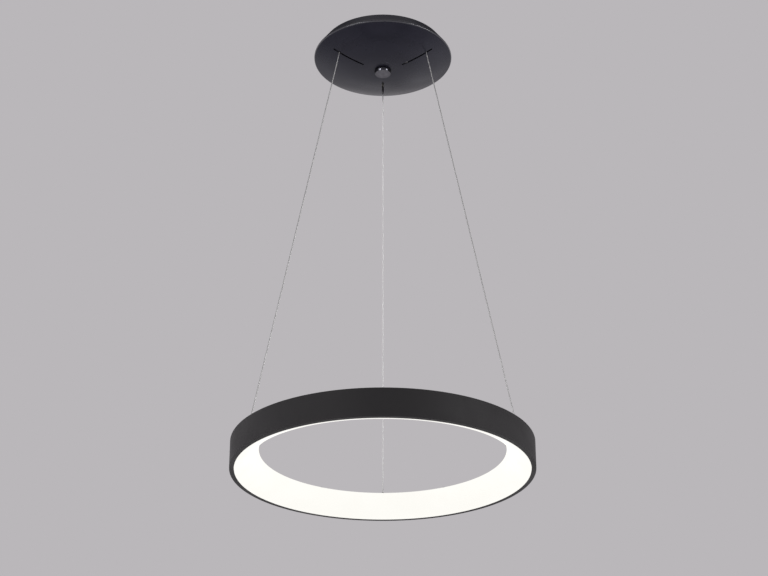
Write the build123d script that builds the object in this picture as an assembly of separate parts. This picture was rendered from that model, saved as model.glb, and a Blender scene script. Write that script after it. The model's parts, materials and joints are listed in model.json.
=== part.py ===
from build123d import *
import os
from math import atan2, cos, degrees, hypot, radians, sin, sqrt

# Ring pendant lamp: a lit ring hangs level on steel wires below a domed ceiling cover.
# Millimetres, +Z up. The origin is the middle of the ceiling plane, on the lamp's axis.

# Lamp as a whole
DROP = 787.0  # from the ceiling to the underside of the ring
WIRE_COUNT = 3
FIRST_WIRE_AZIMUTH = 90.0
WIRE_D = 1.8
WIRE_BEND_R = 8.0  # where a wire leaves its gripper
WIRE_ROOM = 0.3  # around a wire in its holes

# Ring band, a rolled aluminium profile
RING_D = 480.0
RING_H = 45.0
BAND_T = 2.0
BAND_EDGE_R = 0.6
LIP_W = 5.3  # lip inside the wall, at the underside
LIP_T = 2.0
LEDGE_W = 5.0  # ledge inside the wall that carries the top plate
LEDGE_T = 2.0

# Top plate of the ring, let in below the band's top edge
TOP_PLATE_T = 1.5
TOP_PLATE_RECESS = 9.3
TOP_PLATE_GAP = 0.4  # to the band's wall
PLATE_SCREW_COUNT = 8

# Diffuser, a bowed opal strip
GLOW_W = 37.7
GLOW_BULGE = 7.5  # of its lit face, out from a straight slope
GLOW_T = 2.5
GLOW_GAP = 0.3  # to the lip
GLOW_SEAT_GAP = 0.2  # over the lip and under the top plate
GLOW_FOOT_W = 4.2  # foot that lies on the lip
GLOW_FOOT_ROOT = 3.0
GLOW_RIM_W = 12.3  # flange under the top plate
GLOW_RIM_SHOWN = 5.3  # of that flange, inside the top plate
GLOW_BOSS_D = 5.6
GLOW_BOSS_H = 5.0
GLOW_SCREW_COUNT = 12
GLOW_SCREW_EDGE = 3.2  # from the top plate's inner edge

# LED boards under the top plate
BOARD_COUNT = 4
BOARD_W = 14.0
BOARD_T = 1.2
BOARD_GAP = 1.0  # to the diffuser's flange
BOARD_END_GAP = 3.0  # between neighbouring boards
BOARD_SCREW_END = 7.0  # from a board's end
LED_PER_BOARD = 24
LED_SIDE = 3.0
LED_T = 0.8
LED_END = 20.0  # from a board's end to its first LED

# Wire anchors on the ring
ANCHOR_L = 26.0  # along the band
ANCHOR_W = 9.2
ANCHOR_H = 8.0
ANCHOR_GAP = 0.3  # to the band's wall
ANCHOR_BACK = 4.2  # from the block's outer face to the wire
ANCHOR_SCREW_SPAN = 18.0
ANCHOR_SLOT_W = 2.6
ANCHOR_SLOT_IN = 3.4  # slot for the wire's slant, towards the lamp's axis
ANCHOR_SLOT_OUT = 1.3
BALL_D = 4.8
BALL_ROOM = 0.3
RING_LEAD_D = 1.6
RING_LEAD_OFFSET = 6.0  # beside the wire's slot
RING_LEAD_BEND_R = 2.0
RING_LEAD_ROOM = 0.5  # in its hole and to the board
RING_LEAD_REACH = 3.0  # under the board
RING_LEAD_COUNT = 2

# Ceiling cover, a spun steel saucer
COVER_TOP_R = 105.0
COVER_RIM_R = 121.5  # before the rim is rounded
COVER_RIM_DEPTH = 23.0
COVER_RIM_ROUND = 3.0
COVER_DOME = 24.0  # how far the lower face bulges below the rim
COVER_FLAT_R = 15.0
COVER_T = 1.2
COVER_CEILING_GAP = 0.3
SLOT_W = 3.2
SLOT_INWARD = 48.0  # from the wire to the slot's inner end
SLOT_OUTWARD = 12.0

# Knob that holds the cover up
KNOB_D = 27.0  # of its lower face
KNOB_TOP_D = 29.4
KNOB_H = 5.5
KNOB_EDGE_R = 0.6
KNOB_BORE_DEPTH = 4.7
KNOB_WASHER_D = 18.0
KNOB_WASHER_T = 0.5

# Ceiling plate, a pressed pan
PAN_T = 1.5
PAN_DEPTH = 5.0
PAN_FLANGE_W = 9.0
PAN_COVER_GAP = 3.0  # inside the cover's top edge
CEILING_SCREW_COUNT = 4
CEILING_SCREW_HOLE_D = 4.8
CEILING_SCREW_AZIMUTH = 45.0
INLET_X = 38.0
INLET_Y = 34.0
INLET_D = 14.0
GROMMET_WALL = 2.9
GROMMET_LIP = 2.5
GROMMET_LIP_T = 2.0
GROMMET_GAP = 0.1

# Bolt that carries the knob
BOLT_D = 6.0
BOLT_ROOM = 0.05  # in the nut and the knob
BOLT_HOLE_ROOM = 0.3
BOLT_END_ROOM = 0.5  # left at the bottom of the knob's bore
BOLT_HEAD_AF = 10.0
BOLT_HEAD_H = 3.6
BOLT_NUT_H = 5.0

# Wire grippers under the ceiling plate
GRIPPER_EDGE = 8.0  # from the pan's wall to the gripper's axis
GRIPPER_D = 12.0
GRIPPER_L = 13.0
GRIPPER_SPIGOT_D = 8.0
GRIPPER_FIT = 0.05
BUSH_WALL = 1.1
BUSH_FLANGE_D = 15.6
BUSH_FLANGE_T = 1.2
GRIPPER_WASHER_T = 1.0
GRIPPER_NUT_AF = 13.0
GRIPPER_NUT_T = 3.0
GRIPPER_TOP_WALL = 3.0
PLUNGER_D = 6.2
PLUNGER_FIT = 0.1
PLUNGER_TRAVEL = 2.5
PLUNGER_TOP_ROOM = 0.3  # left over the plunger when it is pressed
PLUNGER_COLLAR_D = 8.4
PLUNGER_COLLAR_T = 1.3
PLUNGER_STOP_ROOM = 0.2  # between collar and body when it is pressed
FUNNEL_D = 4.4
FUNNEL_H = 2.0

# Driver under the ceiling plate
DRIVER_W = 36.0
DRIVER_H = 19.0
DRIVER_WALL = 1.5
DRIVER_LID_T = 1.5
DRIVER_EAR = 8.0
DRIVER_END_GAP = 6.5  # from an ear to the gripper beside it
DRIVER_AXIS_GAP = 27.0  # from the lamp's axis to the driver's near side
DRIVER_BOARD_GAP = 3.0
DRIVER_BOARD_T = 1.2
DRIVER_POST_D = 4.0
DRIVER_POST_H = 2.0
TRANSFORMER_L = 18.0
TRANSFORMER_W = 16.0
TRANSFORMER_H = 10.5
CAPACITOR_D = 9.0
CAPACITOR_H = 10.0
CAPACITOR_COUNT = 3
CHOKE_D = 12.0
CHOKE_HOLE_D = 5.0
CHOKE_H = 6.0

# Terminal block
BLOCK_L = 34.0
BLOCK_W = 18.0
BLOCK_H = 14.0
BLOCK_INSET = 18.0  # from the driver's end to the block's middle
BLOCK_Y = 40.0
BLOCK_POLES = 3
POLE_PITCH = 10.0
POLE_SCREW_D = 4.0
POLE_SCREW_H = 3.5
POLE_SCREW_ROW = 8.0
POLE_SCREW_ROOM = 0.1
POLE_ENTRY_D = 3.6
POLE_ENTRY_DEPTH = 4.0
EARTH_X = 46.0
EARTH_Y = 0.0
EARTH_WASHER_D = 9.0
EARTH_WASHER_T = 0.8

# Leads inside the cover
LEAD_D = 2.2
LEAD_SAG = 5.0
LEAD_STRAIGHT = 8.0  # out of the terminal block and into the driver
LEAD_BEND_R = 14.0
LEAD_ROOM = 0.2

# Screws: shank diameter, head diameter and head height
SMALL_SCREW_D = 2.5
SMALL_HEAD_D = 4.4
SMALL_HEAD_H = 1.6
MAIN_SCREW_D = 3.0
MAIN_HEAD_D = 5.2
MAIN_HEAD_H = 1.9
SCREW_ROOM = 0.1
SCREW_BITE = 4.0  # past the sheet that a screw clamps
HEAD_ROUND = 0.45  # of a head's height
CROSS_W = 0.7
CROSS_DEPTH = 0.8
CROSS_SPAN = 0.6  # of a head's diameter

# Radii of the ring
RING_R = RING_D / 2
BAND_IN_R = RING_R - BAND_T
LIP_IN_R = BAND_IN_R - LIP_W
GLOW_OUT_R = LIP_IN_R - GLOW_GAP
GLOW_IN_R = GLOW_OUT_R - GLOW_W
TOP_PLATE_IN_R = GLOW_IN_R + GLOW_RIM_SHOWN
TOP_PLATE_OUT_R = BAND_IN_R - TOP_PLATE_GAP
PLATE_SCREW_R = BAND_IN_R - LEDGE_W / 2
GLOW_SCREW_R = TOP_PLATE_IN_R + GLOW_SCREW_EDGE
BOARD_IN_R = GLOW_IN_R + GLOW_RIM_W + BOARD_GAP
BOARD_MID_R = BOARD_IN_R + BOARD_W / 2
BOARD_OUT_R = BOARD_IN_R + BOARD_W
ANCHOR_OUT_R = sqrt((BAND_IN_R - ANCHOR_GAP) ** 2 - (ANCHOR_L / 2) ** 2)
ANCHOR_IN_R = ANCHOR_OUT_R - ANCHOR_W
ANCHOR_R = ANCHOR_OUT_R - ANCHOR_BACK

# Heights of the ring
RING_BOTTOM = -DROP
RING_TOP = RING_BOTTOM + RING_H
TOP_PLATE_TOP = RING_TOP - TOP_PLATE_RECESS
TOP_PLATE_UNDER = TOP_PLATE_TOP - TOP_PLATE_T
LIP_TOP = RING_BOTTOM + LIP_T
GLOW_TOP = TOP_PLATE_UNDER - GLOW_SEAT_GAP
GLOW_H = GLOW_TOP - RING_BOTTOM
BOARD_UNDER = TOP_PLATE_UNDER - BOARD_T
ANCHOR_TOP = TOP_PLATE_TOP + ANCHOR_H
BALL_Z = TOP_PLATE_TOP + BALL_ROOM + BALL_D / 2

# Radii and heights at the ceiling
PAN_OUT_R = COVER_TOP_R - PAN_COVER_GAP
PAN_R = PAN_OUT_R - PAN_FLANGE_W
CEILING_SCREW_R = PAN_R + PAN_FLANGE_W / 2
PAN_TOP = -PAN_DEPTH
PAN_UNDER = PAN_TOP - PAN_T
GRIPPER_R = PAN_R - PAN_T - GRIPPER_EDGE
GRIPPER_TOP = PAN_UNDER - BUSH_FLANGE_T
GRIPPER_BOTTOM = GRIPPER_TOP - GRIPPER_L
GRIPPER_BORE_TOP = GRIPPER_TOP - GRIPPER_TOP_WALL
COLLAR_TOP = GRIPPER_BOTTOM - PLUNGER_TRAVEL - PLUNGER_STOP_ROOM
PLUNGER_BOTTOM = COLLAR_TOP - PLUNGER_COLLAR_T
PLUNGER_TOP = GRIPPER_BORE_TOP - PLUNGER_TRAVEL - PLUNGER_TOP_ROOM
WIRE_TOP = GRIPPER_TOP - GRIPPER_TOP_WALL / 2
WIRE_BEND_Z = PLUNGER_BOTTOM + FUNNEL_H
WIRE_SLOPE = (ANCHOR_R - GRIPPER_R) / (WIRE_BEND_Z - BALL_Z)
COVER_BOTTOM = -COVER_RIM_DEPTH - COVER_DOME
WIRE_EXIT_R = GRIPPER_R + WIRE_SLOPE * (WIRE_BEND_Z + COVER_RIM_DEPTH + COVER_DOME / 2)
SLOT_IN_R = WIRE_EXIT_R - SLOT_INWARD
SLOT_OUT_R = WIRE_EXIT_R + SLOT_OUTWARD
WASHER_BOTTOM = COVER_BOTTOM - KNOB_WASHER_T
KNOB_BOTTOM = WASHER_BOTTOM - KNOB_H
KNOB_BORE_BOTTOM = WASHER_BOTTOM - KNOB_BORE_DEPTH
INLET_HOLE_R = INLET_D / 2 + GROMMET_WALL

# Places of the wires, the driver and the terminal block
WIRE_AZIMUTHS = [FIRST_WIRE_AZIMUTH + 360 / WIRE_COUNT * n for n in range(WIRE_COUNT)]
GRIPPER_X = GRIPPER_R * cos(radians(WIRE_AZIMUTHS[-1]))
GRIPPER_Y = GRIPPER_R * sin(radians(WIRE_AZIMUTHS[-1]))
DRIVER_L = 2 * (GRIPPER_X - BUSH_FLANGE_D / 2 - DRIVER_END_GAP - DRIVER_EAR)
DRIVER_BOARD_L = DRIVER_L - 2 * DRIVER_WALL - 2 * DRIVER_BOARD_GAP
DRIVER_Y = -DRIVER_AXIS_GAP - DRIVER_W / 2
DRIVER_LID_UNDER = PAN_UNDER - DRIVER_LID_T
DRIVER_BOTTOM = DRIVER_LID_UNDER - DRIVER_H
DRIVER_BOARD_Z = DRIVER_BOTTOM + DRIVER_WALL + DRIVER_POST_H
DRIVER_PARTS_Z = DRIVER_BOARD_Z + DRIVER_BOARD_T
DRIVER_NEAR_Y = DRIVER_Y + DRIVER_W / 2
BLOCK_X = BLOCK_INSET - DRIVER_L / 2
BLOCK_UNDER = PAN_UNDER - BLOCK_H
LEAD_Z = PAN_UNDER - BLOCK_H / 2

CUT = 1.0  # how far a cutting solid runs past the face it cuts


def disc(radius, low, high):
    """A round plug on the lamp's axis."""
    return Pos(0, 0, low) * extrude(Circle(radius), high - low)


def ring(inner, outer, low, high):
    """A flat ring on the lamp's axis."""
    return Pos(0, 0, low) * extrude(Circle(outer) - Circle(inner), high - low)


def hexagon(across_flats, low, high):
    """A hexagonal prism on the lamp's axis."""
    outline = RegularPolygon(across_flats / 2, 6, major_radius=False)
    return Pos(0, 0, low) * extrude(outline, high - low)


def block(length, width, low, high):
    """A rectangular block, centred in X and Y."""
    return Pos(0, 0, low) * extrude(Rectangle(length, width), high - low)


def turned(section):
    """A half section, drawn as radius and height, turned about the lamp's axis."""
    return revolve(Plane.XZ * section, Axis.Z)


def polar(radius, azimuth):
    """The place at a radius and azimuth, with its X axis pointing outwards."""
    return Rot(0, 0, azimuth) * Pos(radius, 0, 0)


def around(count, start=0.0):
    """Azimuths of a number of equal places round the axis."""
    return [start + 360 / count * n for n in range(count)]


def screw(shank_d, length, head_d, head_h):
    """A cross-headed screw: its head stands on z 0 and its shank goes down."""
    shank = disc(shank_d / 2, -length, 0)
    head = disc(head_d / 2, 0, head_h)
    head = fillet(head.edges().group_by(Axis.Z)[-1], head_h * HEAD_ROUND)
    arm = block(head_d * CROSS_SPAN, CROSS_W, head_h - CROSS_DEPTH, head_h + CUT)
    return shank + head - arm - Rot(0, 0, 90) * arm


def swept(points, radii, diameter):
    """A round lead along straight runs joined by tangent arcs."""
    path = FilletPolyline(*points, radius=radii)
    return sweep(Plane(origin=path @ 0, z_dir=path % 0) * Circle(diameter / 2), path)


# Ring


def make_band():
    """Outer wall, lip and ledge as one profile."""
    ledge_in = BAND_IN_R - LEDGE_W
    ledge_low = TOP_PLATE_UNDER - LEDGE_T
    outline = Polyline(
        (RING_R, RING_BOTTOM), (RING_R, RING_TOP), (BAND_IN_R, RING_TOP),
        (BAND_IN_R, TOP_PLATE_UNDER), (ledge_in, TOP_PLATE_UNDER), (ledge_in, ledge_low),
        (BAND_IN_R, ledge_low), (BAND_IN_R, LIP_TOP), (LIP_IN_R, LIP_TOP),
        (LIP_IN_R, RING_BOTTOM), close=True)
    section = make_face(outline)
    section = fillet(section.vertices().group_by(Axis.X)[-1], BAND_EDGE_R)
    band = turned(section)
    hole = disc(SMALL_SCREW_D / 2 + SCREW_ROOM, ledge_low - CUT, TOP_PLATE_UNDER + CUT)
    for azimuth in around(PLATE_SCREW_COUNT, 180 / PLATE_SCREW_COUNT):
        band -= polar(PLATE_SCREW_R, azimuth) * hole
    return band


def board_span():
    """Half the angle of one LED board, and the angles of its screws and its end LEDs."""
    per_mm = degrees(1 / BOARD_MID_R)
    half = 180 / BOARD_COUNT - BOARD_END_GAP / 2 * per_mm
    return half, half - BOARD_SCREW_END * per_mm, half - LED_END * per_mm


def board_screw_places():
    """Azimuths of the screws that hold the LED boards."""
    at = board_span()[1]
    return [mid + side * at for mid in around(BOARD_COUNT, 180 / BOARD_COUNT) for side in (-1, 1)]


def make_top_plate():
    """Plate over the LED chamber, with holes for all that is screwed to it."""
    low, high = TOP_PLATE_UNDER - CUT, TOP_PLATE_TOP + CUT
    plate = ring(TOP_PLATE_IN_R, TOP_PLATE_OUT_R, TOP_PLATE_UNDER, TOP_PLATE_TOP)
    small = disc(SMALL_SCREW_D / 2 + SCREW_ROOM, low, high)
    main = disc(MAIN_SCREW_D / 2 + SCREW_ROOM, low, high)
    lead = disc(RING_LEAD_D / 2 + RING_LEAD_ROOM, low, high)
    for azimuth in around(PLATE_SCREW_COUNT, 180 / PLATE_SCREW_COUNT):
        plate -= polar(PLATE_SCREW_R, azimuth) * small
    for azimuth in around(GLOW_SCREW_COUNT):
        plate -= polar(GLOW_SCREW_R, azimuth) * small
    for azimuth in board_screw_places():
        plate -= polar(BOARD_MID_R, azimuth) * small
    for azimuth in WIRE_AZIMUTHS:
        for side in (-1, 1):
            plate -= polar(ANCHOR_R, azimuth) * Pos(0, side * ANCHOR_SCREW_SPAN / 2, 0) * main
    for azimuth in WIRE_AZIMUTHS[-RING_LEAD_COUNT:]:
        plate -= polar(ring_lead_drop(), azimuth) * Pos(0, RING_LEAD_OFFSET, 0) * lead
    return plate


def make_diffuser():
    """Opal bowed shell, with a foot on the lip and a flange under the top plate."""
    slope = hypot(GLOW_W, GLOW_H)
    out = (-GLOW_H / slope, -GLOW_W / slope)
    half_way = (GLOW_OUT_R - GLOW_W / 2, GLOW_TOP - GLOW_H / 2)
    lit = tuple(at + GLOW_BULGE * way for at, way in zip(half_way, out))
    back = tuple(at - GLOW_T * way for at, way in zip(lit, out))
    low, high = (GLOW_OUT_R, RING_BOTTOM), (GLOW_IN_R, GLOW_TOP)
    low_back, high_back = (GLOW_OUT_R, RING_BOTTOM + GLOW_T), (GLOW_IN_R + GLOW_T, GLOW_TOP)
    shell = make_face([
        ThreePointArc(low, lit, high),
        Line(high, high_back),
        ThreePointArc(high_back, back, low_back),
        Line(low_back, low)])
    foot_w = GLOW_FOOT_ROOT + GLOW_FOOT_W
    foot_low = LIP_TOP + GLOW_SEAT_GAP
    foot = Pos(GLOW_OUT_R - GLOW_FOOT_ROOT, foot_low) * Rectangle(
        foot_w, GLOW_T, align=(Align.MIN, Align.MIN))
    flange = Pos(GLOW_IN_R + GLOW_T / 2, GLOW_TOP) * Rectangle(
        GLOW_RIM_W - GLOW_T / 2, GLOW_T, align=(Align.MIN, Align.MAX))
    diffuser = turned(shell + foot + flange)
    boss_low = GLOW_TOP - GLOW_T - GLOW_BOSS_H
    boss = disc(GLOW_BOSS_D / 2, boss_low, GLOW_TOP - GLOW_T / 2)
    pilot = disc(SMALL_SCREW_D / 2 + SCREW_ROOM, boss_low - CUT, GLOW_TOP + CUT)
    for azimuth in around(GLOW_SCREW_COUNT):
        diffuser += polar(GLOW_SCREW_R, azimuth) * boss
    for azimuth in around(GLOW_SCREW_COUNT):
        diffuser -= polar(GLOW_SCREW_R, azimuth) * pilot
    return diffuser


def make_led_boards():
    """Curved boards against the underside of the top plate."""
    half, screw_at, _ = board_span()
    section = Pos(BOARD_MID_R, BOARD_UNDER + BOARD_T / 2) * Rectangle(BOARD_W, BOARD_T)
    board = Rot(0, 0, -half) * revolve(Plane.XZ * section, Axis.Z, revolution_arc=2 * half)
    hole = disc(SMALL_SCREW_D / 2 + SCREW_ROOM, BOARD_UNDER - CUT, TOP_PLATE_UNDER + CUT)
    for side in (-1, 1):
        board -= polar(BOARD_MID_R, side * screw_at) * hole
    return [Rot(0, 0, mid) * board for mid in around(BOARD_COUNT, 180 / BOARD_COUNT)]


def make_leds():
    """Light-emitting chips, evenly spaced along each board."""
    _, _, end = board_span()
    chip = block(LED_SIDE, LED_SIDE, BOARD_UNDER - LED_T, BOARD_UNDER)
    steps = [2 * n / (LED_PER_BOARD - 1) - 1 for n in range(LED_PER_BOARD)]
    mids = around(BOARD_COUNT, 180 / BOARD_COUNT)
    return [polar(BOARD_MID_R, mid + end * step) * chip for mid in mids for step in steps]


def make_board_screws():
    """Screws from below, through the boards and the top plate."""
    upright = screw(SMALL_SCREW_D, BOARD_T + TOP_PLATE_T, SMALL_HEAD_D, SMALL_HEAD_H)
    turned_over = Pos(0, 0, BOARD_UNDER) * Rot(180, 0, 0) * upright
    return [polar(BOARD_MID_R, azimuth) * turned_over for azimuth in board_screw_places()]


def make_plate_screws():
    """Screws through the top plate into the band's ledge."""
    length = TOP_PLATE_T + LEDGE_T + SCREW_BITE / 2
    one = Pos(0, 0, TOP_PLATE_TOP) * screw(SMALL_SCREW_D, length, SMALL_HEAD_D, SMALL_HEAD_H)
    return [polar(PLATE_SCREW_R, a) * one for a in around(PLATE_SCREW_COUNT, 180 / PLATE_SCREW_COUNT)]


def make_diffuser_screws():
    """Screws through the top plate into the diffuser's bosses."""
    length = TOP_PLATE_T + GLOW_SEAT_GAP + GLOW_T + SCREW_BITE
    one = Pos(0, 0, TOP_PLATE_TOP) * screw(SMALL_SCREW_D, length, SMALL_HEAD_D, SMALL_HEAD_H)
    return [polar(GLOW_SCREW_R, azimuth) * one for azimuth in around(GLOW_SCREW_COUNT)]


def make_anchor_block():
    """Nylon block on the top plate that a ball end pulls up into, at azimuth 0."""
    outer = ANCHOR_BACK
    body = Pos(outer - ANCHOR_W / 2, 0, 0) * block(ANCHOR_W, ANCHOR_L, TOP_PLATE_TOP, ANCHOR_TOP)
    seat_r = BALL_D / 2 + BALL_ROOM
    body -= disc(seat_r, TOP_PLATE_TOP - CUT, BALL_Z)
    body -= Pos(0, 0, BALL_Z) * Sphere(seat_r)
    slot_l = ANCHOR_SLOT_IN + ANCHOR_SLOT_OUT
    slot_x = (ANCHOR_SLOT_OUT - ANCHOR_SLOT_IN) / 2
    body -= Pos(slot_x, 0, 0) * block(slot_l, ANCHOR_SLOT_W, BALL_Z, ANCHOR_TOP + CUT)
    head_floor = ANCHOR_TOP - MAIN_HEAD_H - SCREW_ROOM
    for side in (-1, 1):
        place = Pos(0, side * ANCHOR_SCREW_SPAN / 2, 0)
        body -= place * disc(MAIN_SCREW_D / 2 + SCREW_ROOM, TOP_PLATE_TOP - CUT, ANCHOR_TOP + CUT)
        body -= place * disc(MAIN_HEAD_D / 2 + SCREW_ROOM, head_floor, ANCHOR_TOP + CUT)
    return polar(ANCHOR_R, 0) * body


def make_anchor_screws():
    """Two screws for each anchor block, sunk in its top and threaded into the top plate."""
    head_floor = ANCHOR_TOP - MAIN_HEAD_H - SCREW_ROOM
    length = head_floor - TOP_PLATE_UNDER
    one = Pos(0, 0, head_floor) * screw(MAIN_SCREW_D, length, MAIN_HEAD_D, MAIN_HEAD_H)
    sides = [Pos(0, side * ANCHOR_SCREW_SPAN / 2, 0) for side in (-1, 1)]
    return [polar(ANCHOR_R, azimuth) * side * one for azimuth in WIRE_AZIMUTHS for side in sides]


def make_ball():
    """Ball end of a wire, bored along the wire's slant, at azimuth 0."""
    bore = disc(WIRE_D / 2 + WIRE_ROOM / 2, 0, BALL_D)
    lean = degrees(atan2(WIRE_SLOPE, 1))
    ball = Sphere(BALL_D / 2) - Rot(0, -lean, 0) * bore
    return polar(ANCHOR_R, 0) * Pos(0, 0, BALL_Z) * ball


def ring_lead_drop():
    """Radius at which a lead goes down through the top plate."""
    return BOARD_OUT_R + RING_LEAD_D / 2 + RING_LEAD_ROOM


def make_ring_leads():
    """Leads from two of the anchor blocks, through the top plate, to the LED boards."""
    above = TOP_PLATE_TOP + ANCHOR_H / 2
    below = BOARD_UNDER - RING_LEAD_D / 2 - RING_LEAD_ROOM / 2
    drop = ring_lead_drop()
    points = [
        (ANCHOR_IN_R, RING_LEAD_OFFSET, above),
        (drop, RING_LEAD_OFFSET, above),
        (drop, RING_LEAD_OFFSET, below),
        (BOARD_OUT_R - RING_LEAD_REACH, RING_LEAD_OFFSET, below)]
    lead = swept(points, RING_LEAD_BEND_R, RING_LEAD_D)
    return [Rot(0, 0, azimuth) * lead for azimuth in WIRE_AZIMUTHS[-RING_LEAD_COUNT:]]


# Wires


def make_wire():
    """One suspension wire, from inside its gripper to its ball end, at azimuth 0."""
    points = [(GRIPPER_R, 0, WIRE_TOP), (GRIPPER_R, 0, WIRE_BEND_Z), (ANCHOR_R, 0, BALL_Z)]
    return swept(points, WIRE_BEND_R, WIRE_D)


# Ceiling cover and knob


def cover_section(inset, top):
    """Half section of the cover's outside, drawn in by inset and cut off at a height."""
    span = COVER_RIM_R - COVER_FLAT_R
    dome_r = (span**2 + COVER_DOME**2) / (2 * COVER_DOME)
    centre_z = COVER_BOTTOM + dome_r
    rise = COVER_RIM_DEPTH - COVER_CEILING_GAP
    lean = COVER_RIM_R - COVER_TOP_R
    wall = hypot(rise, lean)
    up = (-lean / wall, rise / wall)
    start = (COVER_RIM_R - inset * up[1], -COVER_RIM_DEPTH + inset * up[0])
    off = (start[0] - COVER_FLAT_R, start[1] - centre_z)
    along = off[0] * up[0] + off[1] * up[1]
    reach = off[0] ** 2 + off[1] ** 2 - (dome_r - inset) ** 2
    step = -along - sqrt(along**2 - reach)
    rim = (start[0] + step * up[0], start[1] + step * up[1])
    end = (start[0] + (top - start[1]) / up[1] * up[0], top)
    flat_z = COVER_BOTTOM + inset
    half = atan2(rim[0] - COVER_FLAT_R, centre_z - rim[1]) / 2
    bulge = (
        COVER_FLAT_R + (dome_r - inset) * sin(half),
        centre_z - (dome_r - inset) * cos(half))
    edges = [
        Line((0, flat_z), (COVER_FLAT_R, flat_z)),
        ThreePointArc((COVER_FLAT_R, flat_z), bulge, rim),
        Line(rim, end),
        Line(end, (0, top)),
        Line((0, top), (0, flat_z))]
    section = make_face(edges)
    return fillet(section.vertices().sort_by(Axis.X)[-1], max(COVER_RIM_ROUND - inset, inset))


def make_cover():
    """Spun steel saucer with a bolt hole and a radial slot for each wire."""
    cover = turned(cover_section(0, -COVER_CEILING_GAP))
    cover -= turned(cover_section(COVER_T, CUT))
    cover -= disc(BOLT_D / 2 + BOLT_HOLE_ROOM, COVER_BOTTOM - CUT, 0)
    slot_l = SLOT_OUT_R - SLOT_IN_R
    slot = extrude(SlotOverall(slot_l, SLOT_W), COVER_DOME + COVER_T + CUT)
    slot = Pos((SLOT_IN_R + SLOT_OUT_R) / 2, 0, COVER_BOTTOM - CUT) * slot
    for azimuth in WIRE_AZIMUTHS:
        cover -= Rot(0, 0, azimuth) * slot
    return cover


def make_knob():
    """Turned, tapered knob that screws onto the bolt from below."""
    knob = turned(Polygon(
        (0, KNOB_BOTTOM), (KNOB_D / 2, KNOB_BOTTOM), (KNOB_TOP_D / 2, WASHER_BOTTOM), (0, WASHER_BOTTOM),
        align=None))
    knob = fillet(knob.edges().filter_by(GeomType.CIRCLE), KNOB_EDGE_R)
    return knob - disc(BOLT_D / 2 + BOLT_ROOM, KNOB_BORE_BOTTOM, WASHER_BOTTOM + CUT)


# Ceiling plate and what hangs under it


def driver_screw_places():
    """Places of the screws in the driver lid's ears."""
    x = DRIVER_L / 2 + DRIVER_EAR / 2
    return [Pos(side * x, DRIVER_Y, 0) for side in (-1, 1)]


def block_screw_places():
    """Places of the screws between the terminal block's poles."""
    middle = (BLOCK_POLES - 2) / 2
    xs = [BLOCK_X + (n - middle) * POLE_PITCH for n in range(BLOCK_POLES - 1)]
    return [Pos(x, BLOCK_Y, 0) for x in xs]


def make_pan():
    """Pressed plate: a flange on the ceiling and a floor let down from it."""
    low, high = PAN_UNDER - CUT, CUT
    pan = disc(PAN_R, PAN_UNDER, PAN_TOP) + ring(PAN_R - PAN_T, PAN_R, PAN_UNDER, 0)
    pan += ring(PAN_R - PAN_T, PAN_OUT_R, -PAN_T, 0)
    for azimuth in around(CEILING_SCREW_COUNT, CEILING_SCREW_AZIMUTH):
        pan -= polar(CEILING_SCREW_R, azimuth) * disc(CEILING_SCREW_HOLE_D / 2, low, high)
    pan -= disc(BOLT_D / 2 + BOLT_ROOM, low, high)
    bush_r = GRIPPER_SPIGOT_D / 2 + GRIPPER_FIT + BUSH_WALL
    for azimuth in WIRE_AZIMUTHS:
        pan -= polar(GRIPPER_R, azimuth) * disc(bush_r + GRIPPER_FIT, low, high)
    pan -= Pos(INLET_X, INLET_Y, 0) * disc(INLET_HOLE_R + GROMMET_GAP, low, high)
    hole = disc(MAIN_SCREW_D / 2 + SCREW_ROOM, low, high)
    for place in driver_screw_places() + block_screw_places() + [Pos(EARTH_X, EARTH_Y, 0)]:
        pan -= place * hole
    return pan


def make_grommet():
    """Rubber ring in the pan's cable inlet."""
    lip_r = INLET_HOLE_R + GROMMET_LIP
    sleeve = disc(INLET_HOLE_R, PAN_UNDER - GROMMET_LIP_T, PAN_TOP + GROMMET_LIP_T)
    body = sleeve + disc(lip_r, PAN_UNDER - GROMMET_LIP_T, PAN_UNDER)
    body += disc(lip_r, PAN_TOP, PAN_TOP + GROMMET_LIP_T)
    body -= disc(INLET_D / 2, PAN_UNDER - GROMMET_LIP_T - CUT, CUT)
    return Pos(INLET_X, INLET_Y, 0) * body


def make_bolt():
    """Hexagon-headed bolt from the pan down into the knob."""
    head = hexagon(BOLT_HEAD_AF, PAN_TOP, PAN_TOP + BOLT_HEAD_H)
    return head + disc(BOLT_D / 2, KNOB_BORE_BOTTOM + BOLT_END_ROOM, PAN_TOP)


def make_bolt_nut():
    """Nut that locks the bolt to the pan."""
    low = PAN_UNDER - BOLT_NUT_H
    return hexagon(BOLT_HEAD_AF, low, PAN_UNDER) - disc(BOLT_D / 2 + BOLT_ROOM, low - CUT, 0)


def make_gripper():
    """Gripper body with its threaded spigot, at azimuth 0."""
    body = disc(GRIPPER_D / 2, GRIPPER_BOTTOM, GRIPPER_TOP)
    spigot_top = PAN_TOP + GRIPPER_WASHER_T + GRIPPER_NUT_T
    body += disc(GRIPPER_SPIGOT_D / 2, GRIPPER_TOP, spigot_top)
    body -= disc(PLUNGER_D / 2 + PLUNGER_FIT, GRIPPER_BOTTOM - CUT, GRIPPER_BORE_TOP)
    body -= disc(WIRE_D / 2 + WIRE_ROOM, GRIPPER_BOTTOM, spigot_top + CUT)
    return polar(GRIPPER_R, 0) * body


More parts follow.
